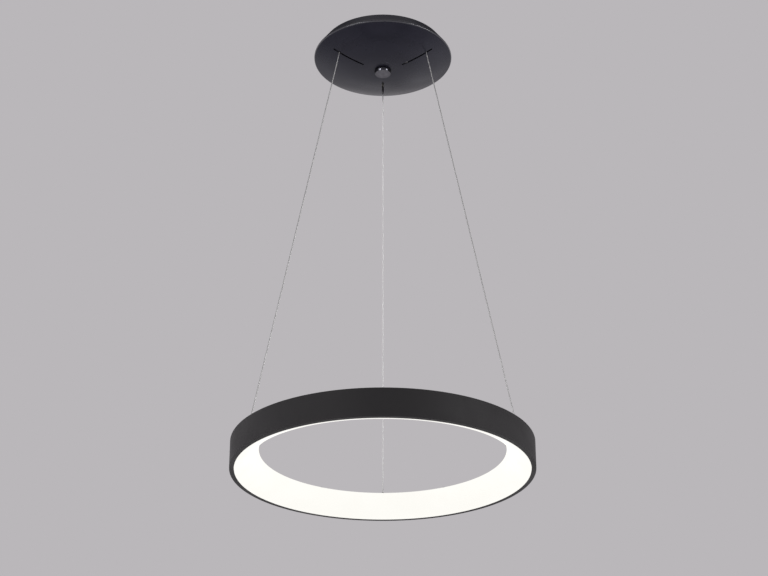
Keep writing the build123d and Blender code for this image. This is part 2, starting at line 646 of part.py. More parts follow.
def make_plunger():
    """Release plunger with a collar and a funnel for the wire, at azimuth 0."""
    bore_r = WIRE_D / 2 + WIRE_ROOM
    body = disc(PLUNGER_D / 2, PLUNGER_BOTTOM, PLUNGER_TOP)
    body += disc(PLUNGER_COLLAR_D / 2, PLUNGER_BOTTOM, COLLAR_TOP)
    body -= disc(bore_r, PLUNGER_BOTTOM - CUT, PLUNGER_TOP + CUT)
    funnel = Cone(FUNNEL_D / 2, bore_r, FUNNEL_H, align=(Align.CENTER, Align.CENTER, Align.MIN))
    return polar(GRIPPER_R, 0) * (body - Pos(0, 0, PLUNGER_BOTTOM) * funnel)


def make_gripper_hardware():
    """Insulating bush, washer and nut that fasten a gripper to the pan, at azimuth 0."""
    bore = GRIPPER_SPIGOT_D / 2 + GRIPPER_FIT
    bush = ring(bore, bore + BUSH_WALL, GRIPPER_TOP, PAN_TOP)
    bush += ring(bore, BUSH_FLANGE_D / 2, GRIPPER_TOP, PAN_UNDER)
    washer = ring(bore, BUSH_FLANGE_D / 2, PAN_TOP, PAN_TOP + GRIPPER_WASHER_T)
    nut_low = PAN_TOP + GRIPPER_WASHER_T
    nut = hexagon(GRIPPER_NUT_AF, nut_low, nut_low + GRIPPER_NUT_T) - disc(bore, nut_low - CUT, CUT)
    return [polar(GRIPPER_R, 0) * piece for piece in (bush, washer, nut)]


def make_driver_lid():
    """Lid of the driver against the pan, with an ear at each end."""
    low = DRIVER_LID_UNDER
    lid = Pos(0, DRIVER_Y, 0) * block(DRIVER_L + 2 * DRIVER_EAR, DRIVER_W, low, PAN_UNDER)
    for place in driver_screw_places():
        lid -= place * disc(MAIN_SCREW_D / 2 + SCREW_ROOM, low - CUT, PAN_UNDER + CUT)
    return lid


def make_driver_tray():
    """Tray of the driver, open towards its lid, with four posts for the board."""
    inside_l = DRIVER_L - 2 * DRIVER_WALL
    inside_w = DRIVER_W - 2 * DRIVER_WALL
    floor = DRIVER_BOTTOM + DRIVER_WALL
    tray = block(DRIVER_L, DRIVER_W, DRIVER_BOTTOM, DRIVER_LID_UNDER)
    tray -= block(inside_l, inside_w, floor, DRIVER_LID_UNDER + CUT)
    post = disc(DRIVER_POST_D / 2, floor - DRIVER_WALL / 2, DRIVER_BOARD_Z)
    post_x = inside_l / 2 - DRIVER_BOARD_GAP - DRIVER_POST_D / 2
    post_y = inside_w / 2 - DRIVER_BOARD_GAP - DRIVER_POST_D / 2
    for place in GridLocations(2 * post_x, 2 * post_y, 2, 2):
        tray += place * post
    return Pos(0, DRIVER_Y, 0) * tray


def make_driver_board():
    """Circuit board on the tray's posts."""
    width = DRIVER_W - 2 * DRIVER_WALL - 2 * DRIVER_BOARD_GAP
    return Pos(0, DRIVER_Y, 0) * block(DRIVER_BOARD_L, width, DRIVER_BOARD_Z, DRIVER_PARTS_Z)


def make_driver_parts():
    """Choke, transformer and capacitors in one row, spread evenly along the board."""
    choke = ring(CHOKE_HOLE_D / 2, CHOKE_D / 2, 0, CHOKE_H)
    transformer = block(TRANSFORMER_L, TRANSFORMER_W, 0, TRANSFORMER_H)
    capacitor = disc(CAPACITOR_D / 2, 0, CAPACITOR_H)
    row = [(CHOKE_D, choke), (TRANSFORMER_L, transformer)]
    row += [(CAPACITOR_D, capacitor)] * CAPACITOR_COUNT
    gap = (DRIVER_BOARD_L - sum(length for length, _ in row)) / (len(row) + 1)
    x = -DRIVER_BOARD_L / 2
    pieces = []
    for length, solid in row:
        x += gap + length / 2
        pieces.append(Pos(x, DRIVER_Y, DRIVER_PARTS_Z) * solid)
        x += length / 2
    return pieces


def make_driver_screws():
    """Screws from below through the lid's ears into the pan."""
    upright = screw(MAIN_SCREW_D, DRIVER_LID_T + PAN_T, MAIN_HEAD_D, MAIN_HEAD_H)
    turned_over = Pos(0, 0, DRIVER_LID_UNDER) * Rot(180, 0, 0) * upright
    return [place * turned_over for place in driver_screw_places()]


def pole_places():
    """X of each pole of the terminal block."""
    middle = (BLOCK_POLES - 1) / 2
    return [BLOCK_X + (n - middle) * POLE_PITCH for n in range(BLOCK_POLES)]


def make_terminal_block():
    """Terminal block with an entry and a clamp screw at both ends of each pole."""
    body = Pos(BLOCK_X, BLOCK_Y, 0) * block(BLOCK_L, BLOCK_W, BLOCK_UNDER, PAN_UNDER)
    entry = Rot(90, 0, 0) * Cylinder(POLE_ENTRY_D / 2, 2 * POLE_ENTRY_DEPTH)
    well = disc(POLE_SCREW_D / 2 + POLE_SCREW_ROOM, BLOCK_UNDER - CUT, BLOCK_UNDER + POLE_SCREW_H)
    for x in pole_places():
        for side in (-1, 1):
            body -= Pos(x, BLOCK_Y + side * BLOCK_W / 2, LEAD_Z) * entry
            body -= Pos(x, BLOCK_Y + side * POLE_SCREW_ROW / 2, 0) * well
    head_floor = BLOCK_UNDER + MAIN_HEAD_H + SCREW_ROOM
    for place in block_screw_places():
        body -= place * disc(MAIN_SCREW_D / 2 + SCREW_ROOM, BLOCK_UNDER - CUT, PAN_UNDER + CUT)
        body -= place * disc(MAIN_HEAD_D / 2 + SCREW_ROOM, BLOCK_UNDER - CUT, head_floor)
    return body


def make_terminal_screws():
    """Slotted clamp screws, flush in the terminal block's underside."""
    one = disc(POLE_SCREW_D / 2, BLOCK_UNDER, BLOCK_UNDER + POLE_SCREW_H)
    one -= block(POLE_SCREW_D + CUT, CROSS_W, BLOCK_UNDER - CUT, BLOCK_UNDER + CROSS_DEPTH)
    rows = [BLOCK_Y + side * POLE_SCREW_ROW / 2 for side in (-1, 1)]
    return [Pos(x, y, 0) * one for x in pole_places() for y in rows]


def make_block_screws():
    """Screws, sunk in the terminal block, that hold it to the pan."""
    seat = BLOCK_UNDER + MAIN_HEAD_H + SCREW_ROOM
    upright = screw(MAIN_SCREW_D, PAN_TOP - seat, MAIN_HEAD_D, MAIN_HEAD_H)
    turned_over = Pos(0, 0, seat) * Rot(180, 0, 0) * upright
    return [place * turned_over for place in block_screw_places()]


def make_earth():
    """Earth screw and its washer under the pan."""
    place = Pos(EARTH_X, EARTH_Y, 0)
    low = PAN_UNDER - EARTH_WASHER_T
    washer = ring(MAIN_SCREW_D / 2 + SCREW_ROOM, EARTH_WASHER_D / 2, low, PAN_UNDER)
    upright = screw(MAIN_SCREW_D, EARTH_WASHER_T + PAN_T, MAIN_HEAD_D, MAIN_HEAD_H)
    return place * Pos(0, 0, low) * Rot(180, 0, 0) * upright, place * washer


def make_mains_leads():
    """Two leads that sag from the terminal block to the driver's side."""
    start = BLOCK_Y - BLOCK_W / 2
    end = DRIVER_NEAR_Y + LEAD_ROOM
    middle = (start + end) / 2
    leads = []
    for x in pole_places()[:2]:
        points = [
            (x, start + POLE_ENTRY_DEPTH / 2, LEAD_Z),
            (x, start - LEAD_STRAIGHT, LEAD_Z),
            (x, middle, LEAD_Z - LEAD_SAG),
            (x, end + LEAD_STRAIGHT, LEAD_Z),
            (x, end, LEAD_Z)]
        leads.append(swept(points, LEAD_BEND_R, LEAD_D))
    return leads


def make_output_leads():
    """Short leads from the driver's ends to the two grippers beside it."""
    start = DRIVER_L / 2
    length = GRIPPER_X - GRIPPER_D / 2 - LEAD_ROOM - start
    low_corner = (Align.CENTER, Align.CENTER, Align.MIN)
    one = Cylinder(LEAD_D / 2, length, align=low_corner)
    low_z = (GRIPPER_TOP + GRIPPER_BOTTOM) / 2
    return [Pos(side * start, GRIPPER_Y, low_z) * Rot(0, side * 90, 0) * one for side in (-1, 1)]


def for_each_wire(solid):
    """Copies of a solid at azimuth 0, one for each wire."""
    return [Rot(0, 0, azimuth) * solid for azimuth in WIRE_AZIMUTHS]


def build():
    """Every node of the lamp: a name, and one solid or a list of separate solids."""
    bush, washer, nut = make_gripper_hardware()
    earth_screw, earth_washer = make_earth()
    nodes = {
        "ceiling_plate": make_pan(),
        "inlet_grommet": make_grommet(),
        "canopy_bolt": make_bolt(),
        "bolt_nut": make_bolt_nut(),
        "driver_lid": make_driver_lid(),
        "driver_tray": make_driver_tray(),
        "driver_board": make_driver_board(),
        "driver_parts": make_driver_parts(),
        "driver_screws": make_driver_screws(),
        "terminal_block": make_terminal_block(),
        "terminal_screws": make_terminal_screws(),
        "block_screws": make_block_screws(),
        "earth_screw": earth_screw,
        "earth_washer": earth_washer,
        "gripper_bushes": for_each_wire(bush),
        "gripper_washers": for_each_wire(washer),
        "gripper_nuts": for_each_wire(nut),
        "canopy_cover": make_cover(),
        "knob_washer": ring(
            BOLT_D / 2 + BOLT_HOLE_ROOM, KNOB_WASHER_D / 2, WASHER_BOTTOM, COVER_BOTTOM),
        "canopy_knob": make_knob(),
        "ring_band": make_band(),
        "ring_top_plate": make_top_plate(),
        "plate_screws": make_plate_screws(),
        "diffuser": make_diffuser(),
        "diffuser_screws": make_diffuser_screws(),
        "led_chips": make_leds(),
        "board_screws": make_board_screws(),
        "anchor_screws": make_anchor_screws(),
    }
    numbered = {
        "led_board": make_led_boards(),
        "mains_lead": make_mains_leads(),
        "output_lead": make_output_leads(),
        "ring_lead": make_ring_leads(),
        "gripper_body": for_each_wire(make_gripper()),
        "gripper_plunger": for_each_wire(make_plunger()),
        "suspension_wire": for_each_wire(make_wire()),
        "anchor_block": for_each_wire(make_anchor_block()),
        "wire_ball": for_each_wire(make_ball()),
    }
    for name, solids in numbered.items():
        for number, solid in enumerate(solids, 1):
            nodes[f"{name}_{number}"] = solid
    return nodes


os.makedirs("parts", exist_ok=True)
for node, shape in build().items():
    if isinstance(shape, list):
        shape = Compound(children=shape)
    export_step(shape, f"parts/{node}.step")
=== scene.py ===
import json
import logging
import math
from dataclasses import dataclass, field
from enum import Enum
from typing import Any, ClassVar, Iterable

import bpy
from mathutils import Matrix, Vector


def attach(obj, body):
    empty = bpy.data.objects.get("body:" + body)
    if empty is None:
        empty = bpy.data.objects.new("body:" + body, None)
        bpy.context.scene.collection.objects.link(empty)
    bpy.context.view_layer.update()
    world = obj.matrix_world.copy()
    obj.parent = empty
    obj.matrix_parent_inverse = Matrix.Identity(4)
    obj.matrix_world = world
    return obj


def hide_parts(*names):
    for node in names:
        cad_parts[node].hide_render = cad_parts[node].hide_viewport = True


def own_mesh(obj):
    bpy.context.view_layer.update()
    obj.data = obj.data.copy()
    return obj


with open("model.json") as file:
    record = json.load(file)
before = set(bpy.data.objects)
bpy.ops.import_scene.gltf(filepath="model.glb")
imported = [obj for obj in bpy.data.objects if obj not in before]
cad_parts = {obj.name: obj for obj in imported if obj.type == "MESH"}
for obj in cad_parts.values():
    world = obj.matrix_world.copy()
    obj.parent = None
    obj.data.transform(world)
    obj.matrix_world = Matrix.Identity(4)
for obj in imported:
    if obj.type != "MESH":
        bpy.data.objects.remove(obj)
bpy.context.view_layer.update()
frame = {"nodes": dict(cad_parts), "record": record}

# Ring pendant lamp: finishes, hexagonal fixings, stranded wires and the studio round it.
# Metres, +Z up. The origin is the middle of the ceiling plane, on the lamp's axis.

LOG = logging.getLogger("ring_pendant")

Colour = tuple[float, float, float]
Place = tuple[float, float, float]
Pair = tuple[float, float]
Piece = bpy.types.Object
Socket = bpy.types.NodeSocket
Tree = bpy.types.NodeTree

MM = 0.001
ORIGIN = Vector((0.0, 0.0, 0.0))
UP = Vector((0.0, 0.0, 1.0))
WHITE: Colour = (1.0, 1.0, 1.0)

# Where the three wires leave their grippers: distance from the lamp's axis, and directions.
GRIPPER_R = 83.5 * MM
AZIMUTHS = (90.0, 210.0, 330.0)


class Effect(Enum):
    """Surface effects that several finishes share, each one node group."""

    PEEL = "coat_peel"
    HAZE = "hand_haze"
    LATHE = "lathe_lines"
    GRAIN = "moulded_grain"
    SPANGLE = "zinc_spangle"
    DUST = "settled_dust"


class Sheet:
    """A node tree that nodes are added to and linked in."""

    def __init__(self, tree: Tree) -> None:
        """Keeps the tree."""
        self.tree = tree

    def add(
            self, kind: str, inputs: dict[Any, Any] | None = None,
            **settings: Any) -> bpy.types.Node:
        """Adds one node.

        Args:
            kind: Blender's name for the node's type.
            inputs: A value or an output socket for each input, by name or number.
            settings: Properties of the node itself.

        Returns:
            The new node.
        """
        node = self.tree.nodes.new(kind)
        for name, value in settings.items():
            setattr(node, name, value)
        for name, value in (inputs or {}).items():
            self.feed(node.inputs[name], value)
        return node

    def feed(self, socket: Socket, value: Any) -> None:
        """Fills an input.

        Args:
            socket: The input's socket.
            value: An output socket to link to it, or the input's own new value.
        """
        if isinstance(value, Socket):
            self.tree.links.new(value, socket)
        else:
            socket.default_value = value

    def math(self, operation: str, *values: Any) -> Socket:
        """Adds a Math node and returns its result."""
        return self.add("ShaderNodeMath", dict(enumerate(values)), operation=operation).outputs[0]

    def spread(self, value: Socket, ends: Pair, low: Any = 0.0, high: Any = 1.0) -> Socket:
        """Maps a value from a range, with soft ends, to another.

        Args:
            value: The socket to map.
            ends: The range to map from.
            low: Result at the range's first end, a number or a socket.
            high: Result at its second end, a number or a socket.

        Returns:
            The mapped value.
        """
        inputs = {"Value": value, "To Min": low, "To Max": high}
        inputs["From Min"], inputs["From Max"] = ends
        return self.add("ShaderNodeMapRange", inputs, interpolation_type="SMOOTHSTEP").outputs[0]

    def object_place(self) -> Socket:
        """The point's place in the lamp's own frame."""
        return self.add("ShaderNodeTexCoord").outputs["Object"]

    def upright(self, vector: Socket) -> Socket:
        """The z part of a place or a direction."""
        return self.add("ShaderNodeSeparateXYZ", {0: vector}).outputs["Z"]

    def noise(self, place: Socket, scale: Any, detail: float) -> Socket:
        """Adds a noise texture and returns its value, from 0 to 1."""
        inputs = {"Vector": place, "Scale": scale, "Detail": detail}
        return self.add("ShaderNodeTexNoise", inputs).outputs[0]

    def showing_rays(self) -> Socket:
        """Tells the rays that show the backdrop from those that only light.

        Returns:
            1 for the eye's own rays and for those that metal and glass send on, otherwise 0.
        """
        path = self.add("ShaderNodeLightPath").outputs
        sent_on = self.math("MAXIMUM", path["Is Glossy Ray"], path["Is Transmission Ray"])
        return self.math("MAXIMUM", path["Is Camera Ray"], sent_on)


class EffectShelf:
    """Builds each shared effect once, and hands out its node group."""

    GRIT_SHARE: ClassVar[float] = 0.35
    FLECK: ClassVar[Pair] = (0.58, 0.75)
    CLOUD: ClassVar[Pair] = (0.32, 0.68)
    BROAD_LINES: ClassVar[float] = 0.12
    BROAD_SHARE: ClassVar[float] = 0.6
    STREAK: ClassVar[Pair] = (0.35, 0.65)
    MOTTLE_SCALE: ClassVar[float] = 0.05
    FACING_UP: ClassVar[Pair] = (0.5, 0.95)
    PATCH: ClassVar[Pair] = (0.3, 0.7)
    THINNEST_DUST: ClassVar[float] = 0.35

    def __init__(self) -> None:
        """Starts with no group built."""
        self.built: dict[Effect, Tree] = {}

    def group(self, effect: Effect) -> Tree:
        """Finds the node group of an effect, and builds it on first use.

        Args:
            effect: The effect.

        Returns:
            Its node group.
        """
        if effect not in self.built:
            self.built[effect] = getattr(self, f"_{effect.value}")(effect.value)
        return self.built[effect]

    @staticmethod
    def _start(
            name: str, inputs: dict[str, float],
            outputs: Iterable[str]) -> tuple[Sheet, Any, Any]:
        """Opens a new group.

        Args:
            name: The group's name.
            inputs: Its input values, by name.
            outputs: The names of its output values.

        Returns:
            The sheet to add nodes to, the group's input sockets and its output node's sockets.
        """
        tree = bpy.data.node_groups.new(name, "ShaderNodeTree")
        kind = "NodeSocketFloat"
        for label, value in inputs.items():
            tree.interface.new_socket(label, in_out="INPUT", socket_type=kind).default_value = value
        for label in outputs:
            tree.interface.new_socket(label, in_out="OUTPUT", socket_type=kind)
        sheet = Sheet(tree)
        return sheet, sheet.add("NodeGroupInput").outputs, sheet.add("NodeGroupOutput").inputs

    def _coat_peel(self, name: str) -> Tree:
        """Sprayed coating: soft orange peel with finer grit on it.

        Args:
            name: The group's name.

        Returns:
            The group.
        """
        sheet, given, out = self._start(name, {"Peel": 900.0, "Grit": 4200.0}, ("Height", "Fleck"))
        place = sheet.object_place()
        peel = sheet.noise(place, given["Peel"], detail=1.0)
        grit = sheet.noise(place, given["Grit"], detail=1.0)
        sheet.feed(out["Height"], sheet.math("MULTIPLY_ADD", grit, self.GRIT_SHARE, peel))
        sheet.feed(out["Fleck"], sheet.spread(grit, self.FLECK))
        return sheet.tree

    def _hand_haze(self, name: str) -> Tree:
        """Broad, faint variation where a surface was handled and wiped.

        Args:
            name: The group's name.

        Returns:
            The group.
        """
        inputs = {"Scale": 14.0, "Low": 0.4, "High": 0.5}
        sheet, given, out = self._start(name, inputs, ("Value", "Mask"))
        cloud = sheet.noise(sheet.object_place(), given["Scale"], detail=4.0)
        sheet.feed(out["Value"], sheet.spread(cloud, self.CLOUD, given["Low"], given["High"]))
        sheet.feed(out["Mask"], sheet.spread(cloud, self.CLOUD))
        return sheet.tree

    def _lathe_lines(self, name: str) -> Tree:
        """Fine lines round the lamp's axis, as spinning and turning leave them.

        Args:
            name: The group's name.

        Returns:
            The group.
        """
        sheet, given, out = self._start(name, {"Lines": 1500.0}, ("Height", "Streak", "Radius"))
        parts = sheet.add("ShaderNodeSeparateXYZ", {0: sheet.object_place()}).outputs
        squares = [sheet.math("POWER", parts[axis], 2.0) for axis in ("X", "Y")]
        across = sheet.math("SQRT", sheet.math("ADD", *squares))
        flat = sheet.add("ShaderNodeCombineXYZ", {"X": across, "Z": parts["Z"]}).outputs[0]
        fine = sheet.noise(flat, given["Lines"], detail=1.0)
        broad_scale = sheet.math("MULTIPLY", given["Lines"], self.BROAD_LINES)
        broad = sheet.noise(flat, broad_scale, detail=2.0)
        sheet.feed(out["Height"], sheet.math("MULTIPLY_ADD", broad, self.BROAD_SHARE, fine))
        sheet.feed(out["Streak"], sheet.spread(broad, self.STREAK))
        sheet.feed(out["Radius"], across)
        return sheet.tree

    def _moulded_grain(self, name: str) -> Tree:
        """Spark-eroded mould texture on plastic and rubber.

        Args:
            name: The group's name.

        Returns:
            The group.
        """
        sheet, given, out = self._start(name, {"Scale": 2600.0}, ("Height", "Mottle"))
        place = sheet.object_place()
        cells = sheet.add("ShaderNodeTexVoronoi", {"Vector": place, "Scale": given["Scale"]})
        mottle_scale = sheet.math("MULTIPLY", given["Scale"], self.MOTTLE_SCALE)
        sheet.feed(out["Height"], cells.outputs["Distance"])
        sheet.feed(out["Mottle"], sheet.noise(place, mottle_scale, detail=3.0))
        return sheet.tree

    def _zinc_spangle(self, name: str) -> Tree:
        """Zinc crystals: flat cells, each a little lighter or darker.

        Args:
            name: The group's name.

        Returns:
            The group.
        """
        sheet, given, out = self._start(name, {"Scale": 400.0}, ("Cell", "Height"))
        inputs = {"Vector": sheet.object_place(), "Scale": given["Scale"]}
        cells = sheet.add("ShaderNodeTexVoronoi", inputs).outputs
        parts = sheet.add("ShaderNodeSeparateColor", {0: cells["Color"]}).outputs
        sheet.feed(out["Cell"], parts[0])
        sheet.feed(out["Height"], cells["Distance"])
        return sheet.tree

    def _settled_dust(self, name: str) -> Tree:
        """Thin dust on faces that look up.

        Args:
            name: The group's name.

        Returns:
            The group.
        """
        sheet, given, out = self._start(name, {"Amount": 0.3, "Scale": 60.0}, ("Mask",))
        coordinates = sheet.add("ShaderNodeTexCoord").outputs
        up = sheet.upright(coordinates["Normal"])
        level = sheet.spread(up, self.FACING_UP, 0.0, given["Amount"])
        patches = sheet.noise(coordinates["Object"], given["Scale"], detail=5.0)
        patchy = sheet.spread(patches, self.PATCH, self.THINNEST_DUST)
        sheet.feed(out["Mask"], sheet.math("MULTIPLY", level, patchy))
        return sheet.tree


SHELF = EffectShelf()


class MaterialSheet(Sheet):
    """The node tree of one material, round its Principled shader."""

    MIX_FACTOR: ClassVar[int] = 0
    MIX_COLOURS: ClassVar[tuple[int, int]] = (6, 7)
    MIX_RESULT: ClassVar[int] = 2

    def __init__(self, name: str) -> None:
        """Makes a material with nothing but its shader and output.

        Args:
            name: The material's name.
        """
        self.material = bpy.data.materials.new(name)
        self.material.use_nodes = True
        self.material.node_tree.nodes.clear()
        super().__init__(self.material.node_tree)
        self.shader = self.add("ShaderNodeBsdfPrincipled")
        self.output = self.add("ShaderNodeOutputMaterial", {"Surface": self.shader.outputs[0]})

    def set(self, **values: Any) -> None:
        """Sets or links the shader's sockets; a name's underscores stand for spaces."""
        for name, value in values.items():
            self.feed(self.shader.inputs[name.replace("_", " ")], value)

    def effect(self, effect: Effect, **values: Any) -> Any:
        """Places a shared effect with its own values and returns its outputs."""
        return self.add("ShaderNodeGroup", values, node_tree=SHELF.group(effect)).outputs

    def tint(self, mask: Socket, plain: Any, marked: Any) -> Socket:
        """Mixes two colours by a mask.

        Args:
            mask: How much of the second colour shows.
            plain: The colour where the mask is 0, or a socket.
            marked: The colour where the mask is 1, or a socket.

        Returns:
            The mixed colour.
        """
        node = self.add("ShaderNodeMix", {self.MIX_FACTOR: mask}, data_type="RGBA")
        for index, value in zip(self.MIX_COLOURS, (plain, marked)):
            self.feed(node.inputs[index], (*value, 1.0) if isinstance(value, tuple) else value)
        return node.outputs[self.MIX_RESULT]

    def bump(self, height: Socket, strength: float, depth: float) -> None:
        """Feeds a height to the shader's normal; depth is in metres."""
        inputs = {"Height": height, "Strength": strength, "Distance": depth}
        self.set(Normal=self.add("ShaderNodeBump", inputs).outputs[0])


def shade(colour: Colour, factor: float) -> Colour:
    """A lighter or darker copy of a colour."""
    return tuple(min(1.0, part * factor) for part in colour)


@dataclass(frozen=True)
class Finish:
    """A surface finish, named for the record's material slot that it fills.

    Attributes:
        slot: The slot's name.
        colour: The plain colour.
        rough: Roughness, at the middle of its haze.
        shades: Factors on a colour where a pattern's mask is 0 and 1.
        haze: How far the roughness strays below and above its middle.
        haze_scale: Scale of that haze.
        relief: Strength of the bump.
        depth: Depth of the bump.
    """

    slot: str
    colour: Colour
    rough: float
    shades: Pair = (0.9, 1.08)
    haze: Pair = (-0.06, 0.06)
    haze_scale: float = 60.0
    relief: float = 0.3
    depth: float = 0.03 * MM

    def material(self) -> bpy.types.Material:
        """Builds the finish.

        Returns:
            Its material.
        """
        sheet = MaterialSheet(self.slot)
        self.paint(sheet)
        return sheet.material

    def paint(self, sheet: MaterialSheet) -> None:
        """Adds the finish's nodes; each kind of finish has its own."""
        raise NotImplementedError

    def hazed(self, sheet: MaterialSheet) -> Any:
        """Places the haze and returns its outputs; Value is the finish's roughness."""
        low, high = (self.rough + stray for stray in self.haze)
        return sheet.effect(Effect.HAZE, Scale=self.haze_scale, Low=low, High=high)

    def shaded(self, sheet: MaterialSheet, mask: Socket, colour: Colour) -> Socket:
        """Varies a colour between the finish's two shades by a mask."""
        return sheet.tint(mask, *(shade(colour, factor) for factor in self.shades))


@dataclass(frozen=True)
class DustyFinish(Finish):
    """A finish that thin dust settles on."""

    dust: float = 0.05
    dust_scale: float = 500.0
    dust_colour: Colour = (0.22, 0.21, 0.2)

    def dust_mask(self, sheet: MaterialSheet) -> Socket:
        """Places the dust and returns its mask."""
        return sheet.effect(Effect.DUST, Amount=self.dust, Scale=self.dust_scale)["Mask"]


@dataclass(frozen=True)
class PowderCoat(DustyFinish):
    """Baked powder coating: satin, with orange peel and thin dust on top."""

    shades: Pair = (1.0, 1.5)
    haze: Pair = (-0.05, 0.06)
    haze_scale: float = 14.0
    relief: float = 0.35
    depth: float = 0.05 * MM
    dust: float = 0.03
    peel: float = 900.0
    gloss: float = 0.3

    def paint(self, sheet: MaterialSheet) -> None:
        """Adds flecks, haze, dust and peel.

        Args:
            sheet: The material's node tree.
        """
        coat = sheet.effect(Effect.PEEL, Peel=self.peel)
        speckled = self.shaded(sheet, coat["Fleck"], self.colour)
        sheet.set(
            Base_Color=sheet.tint(self.dust_mask(sheet), speckled, self.dust_colour),
            Roughness=self.hazed(sheet)["Value"],
            Specular_IOR_Level=self.gloss)
        sheet.bump(coat["Height"], self.relief, self.depth)


@dataclass(frozen=True)
class SpunLacquer(DustyFinish):
    """Satin lacquer over spun sheet metal, thicker and glossier where it gathers on the rim."""

    shades: Pair = (0.92, 1.1)
    haze_scale: float = 9.0
    relief: float = 0.25
    depth: float = 0.02 * MM
    dust: float = 0.03
    dust_scale: float = 400.0
    lines: float = 420.0
    peel: float = 700.0
    peel_share: float = 0.5
    gloss: float = 0.29
    sheen_tint: Colour = (0.76, 0.74, 1.0)
    rim: Pair = (118.5 * MM, 119.3 * MM)
    rim_rough: float = 0.26
    rim_ior: float = 1.85

    def paint(self, sheet: MaterialSheet) -> None:
        """Adds spinning lines under a soft, hazy lacquer.

        Args:
            sheet: The material's node tree.
        """
        spun = sheet.effect(Effect.LATHE, Lines=self.lines)
        coat = sheet.effect(Effect.PEEL, Peel=self.peel)
        streaked = self.shaded(sheet, spun["Streak"], self.colour)
        sheet.set(
            Base_Color=sheet.tint(self.dust_mask(sheet), streaked, self.dust_colour),
            Roughness=self.hazed(sheet)["Value"],
            Specular_IOR_Level=self.gloss,
            Specular_Tint=(*self.sheen_tint, 1.0),
            Coat_Weight=sheet.spread(spun["Radius"], self.rim),
            Coat_Roughness=self.rim_rough,
            Coat_IOR=self.rim_ior)
        height = sheet.math("MULTIPLY_ADD", coat["Height"], self.peel_share, spun["Height"])
        sheet.bump(height, self.relief, self.depth)


@dataclass(frozen=True)
class TurnedKnob(Finish):
    """Turned dark metal: a polished side and a matt face with turning rings."""

    shades: Pair = (0.85, 1.15)
    haze_scale: float = 120.0
    relief: float = 0.2
    depth: float = 0.01 * MM
    face_colour: Colour = (0.135, 0.132, 0.148)
    face_rough: float = 0.5
    face_from: Pair = (0.75, 0.95)
    wear: Pair = (0.8, 1.15)
    lines: float = 1800.0

    def paint(self, sheet: MaterialSheet) -> None:
        """Tells face from side by the surface's own direction.

        Args:
            sheet: The material's node tree.
        """
        along = sheet.upright(sheet.add("ShaderNodeTexCoord").outputs["Normal"])
        face = sheet.spread(sheet.math("ABSOLUTE", along), self.face_from)
        rings = sheet.effect(Effect.LATHE, Lines=self.lines)
        low, high = self.wear
        wear = sheet.effect(Effect.HAZE, Scale=self.haze_scale, Low=low, High=high)["Value"]
        ringed = self.shaded(sheet, rings["Streak"], self.face_colour)
        rough = sheet.spread(face, (0.0, 1.0), self.rough, self.face_rough)
        sheet.set(
            Base_Color=sheet.tint(face, self.colour, ringed),
            Metallic=1.0,
            Roughness=sheet.math("MULTIPLY", rough, wear))
        sheet.bump(rings["Height"], self.relief, self.depth)


@dataclass(frozen=True)
class LitOpal(Finish):
    """Opal acrylic that glows evenly with the light from the boards behind it."""

    shades: Pair = (1.0, 0.96)
    haze: Pair = (-0.05, 0.05)
    haze_scale: float = 22.0
    relief: float = 0.08
    depth: float = 0.01 * MM
    grain: float = 1800.0
    glow: Colour = (0.922, 0.91, 0.866)
    glow_far: Colour = (0.912, 0.898, 0.851)
    strength: float = 1.0
    gloss: float = 0.05

    def paint(self, sheet: MaterialSheet) -> None:
        """Adds a faint cloudiness in the opal and a satin surface.

        Args:
            sheet: The material's node tree.
        """
        cloud = self.hazed(sheet)
        grain = sheet.effect(Effect.GRAIN, Scale=self.grain)
        sheet.set(
            Base_Color=self.shaded(sheet, cloud["Mask"], self.colour),
            Emission_Color=sheet.tint(cloud["Mask"], self.glow, self.glow_far),
            Emission_Strength=self.strength,
            Roughness=cloud["Value"],
            Specular_IOR_Level=self.gloss)
        sheet.bump(grain["Height"], self.relief, self.depth)


@dataclass(frozen=True)
class PlatedMetal(Finish):
    """Bare or plated metal, with fine scratches and handling haze."""

    shades: Pair = (1.0, 0.84)
    haze: Pair = (-0.06, 0.08)
    haze_scale: float = 180.0
    relief: float = 0.18
    depth: float = 0.02 * MM
    scratch: float = 1400.0
    stretch: float = 0.12

    def paint(self, sheet: MaterialSheet) -> None:
        """Adds stretched scratches and uneven roughness.

        Args:
            sheet: The material's node tree.
        """
        inputs = {"Vector": sheet.object_place(), "Scale": (1.0, 1.0, self.stretch)}
        place = sheet.add("ShaderNodeMapping", inputs).outputs[0]
        scratches = sheet.noise(place, self.scratch, detail=3.0)
        haze = self.hazed(sheet)
        sheet.set(
            Base_Color=self.shaded(sheet, haze["Mask"], self.colour),
            Metallic=1.0,
            Roughness=haze["Value"])
        sheet.bump(scratches, self.relief, self.depth)


@dataclass(frozen=True)
class GalvanisedSheet(DustyFinish):
    """Hot-dip zinc on pressed steel, with its crystals."""

    shades: Pair = (0.88, 1.08)
    haze: Pair = (-0.03, 0.03)
    haze_scale: float = 30.0
    relief: float = 0.12
    dust_colour: Colour = (0.5, 0.49, 0.47)
    cell_rough: float = 0.12

    def paint(self, sheet: MaterialSheet) -> None:
        """Adds spangle, haze and dust.

        Args:
            sheet: The material's node tree.
        """
        zinc = sheet.effect(Effect.SPANGLE)
        haze = self.hazed(sheet)
        dust = self.dust_mask(sheet)
        cells = self.shaded(sheet, zinc["Cell"], self.colour)
        sheet.set(
            Base_Color=sheet.tint(dust, cells, self.dust_colour),
            Metallic=sheet.math("SUBTRACT", 1.0, dust),
            Roughness=sheet.math("MULTIPLY_ADD", zinc["Cell"], self.cell_rough, haze["Value"]))
        sheet.bump(zinc["Height"], self.relief, self.depth)


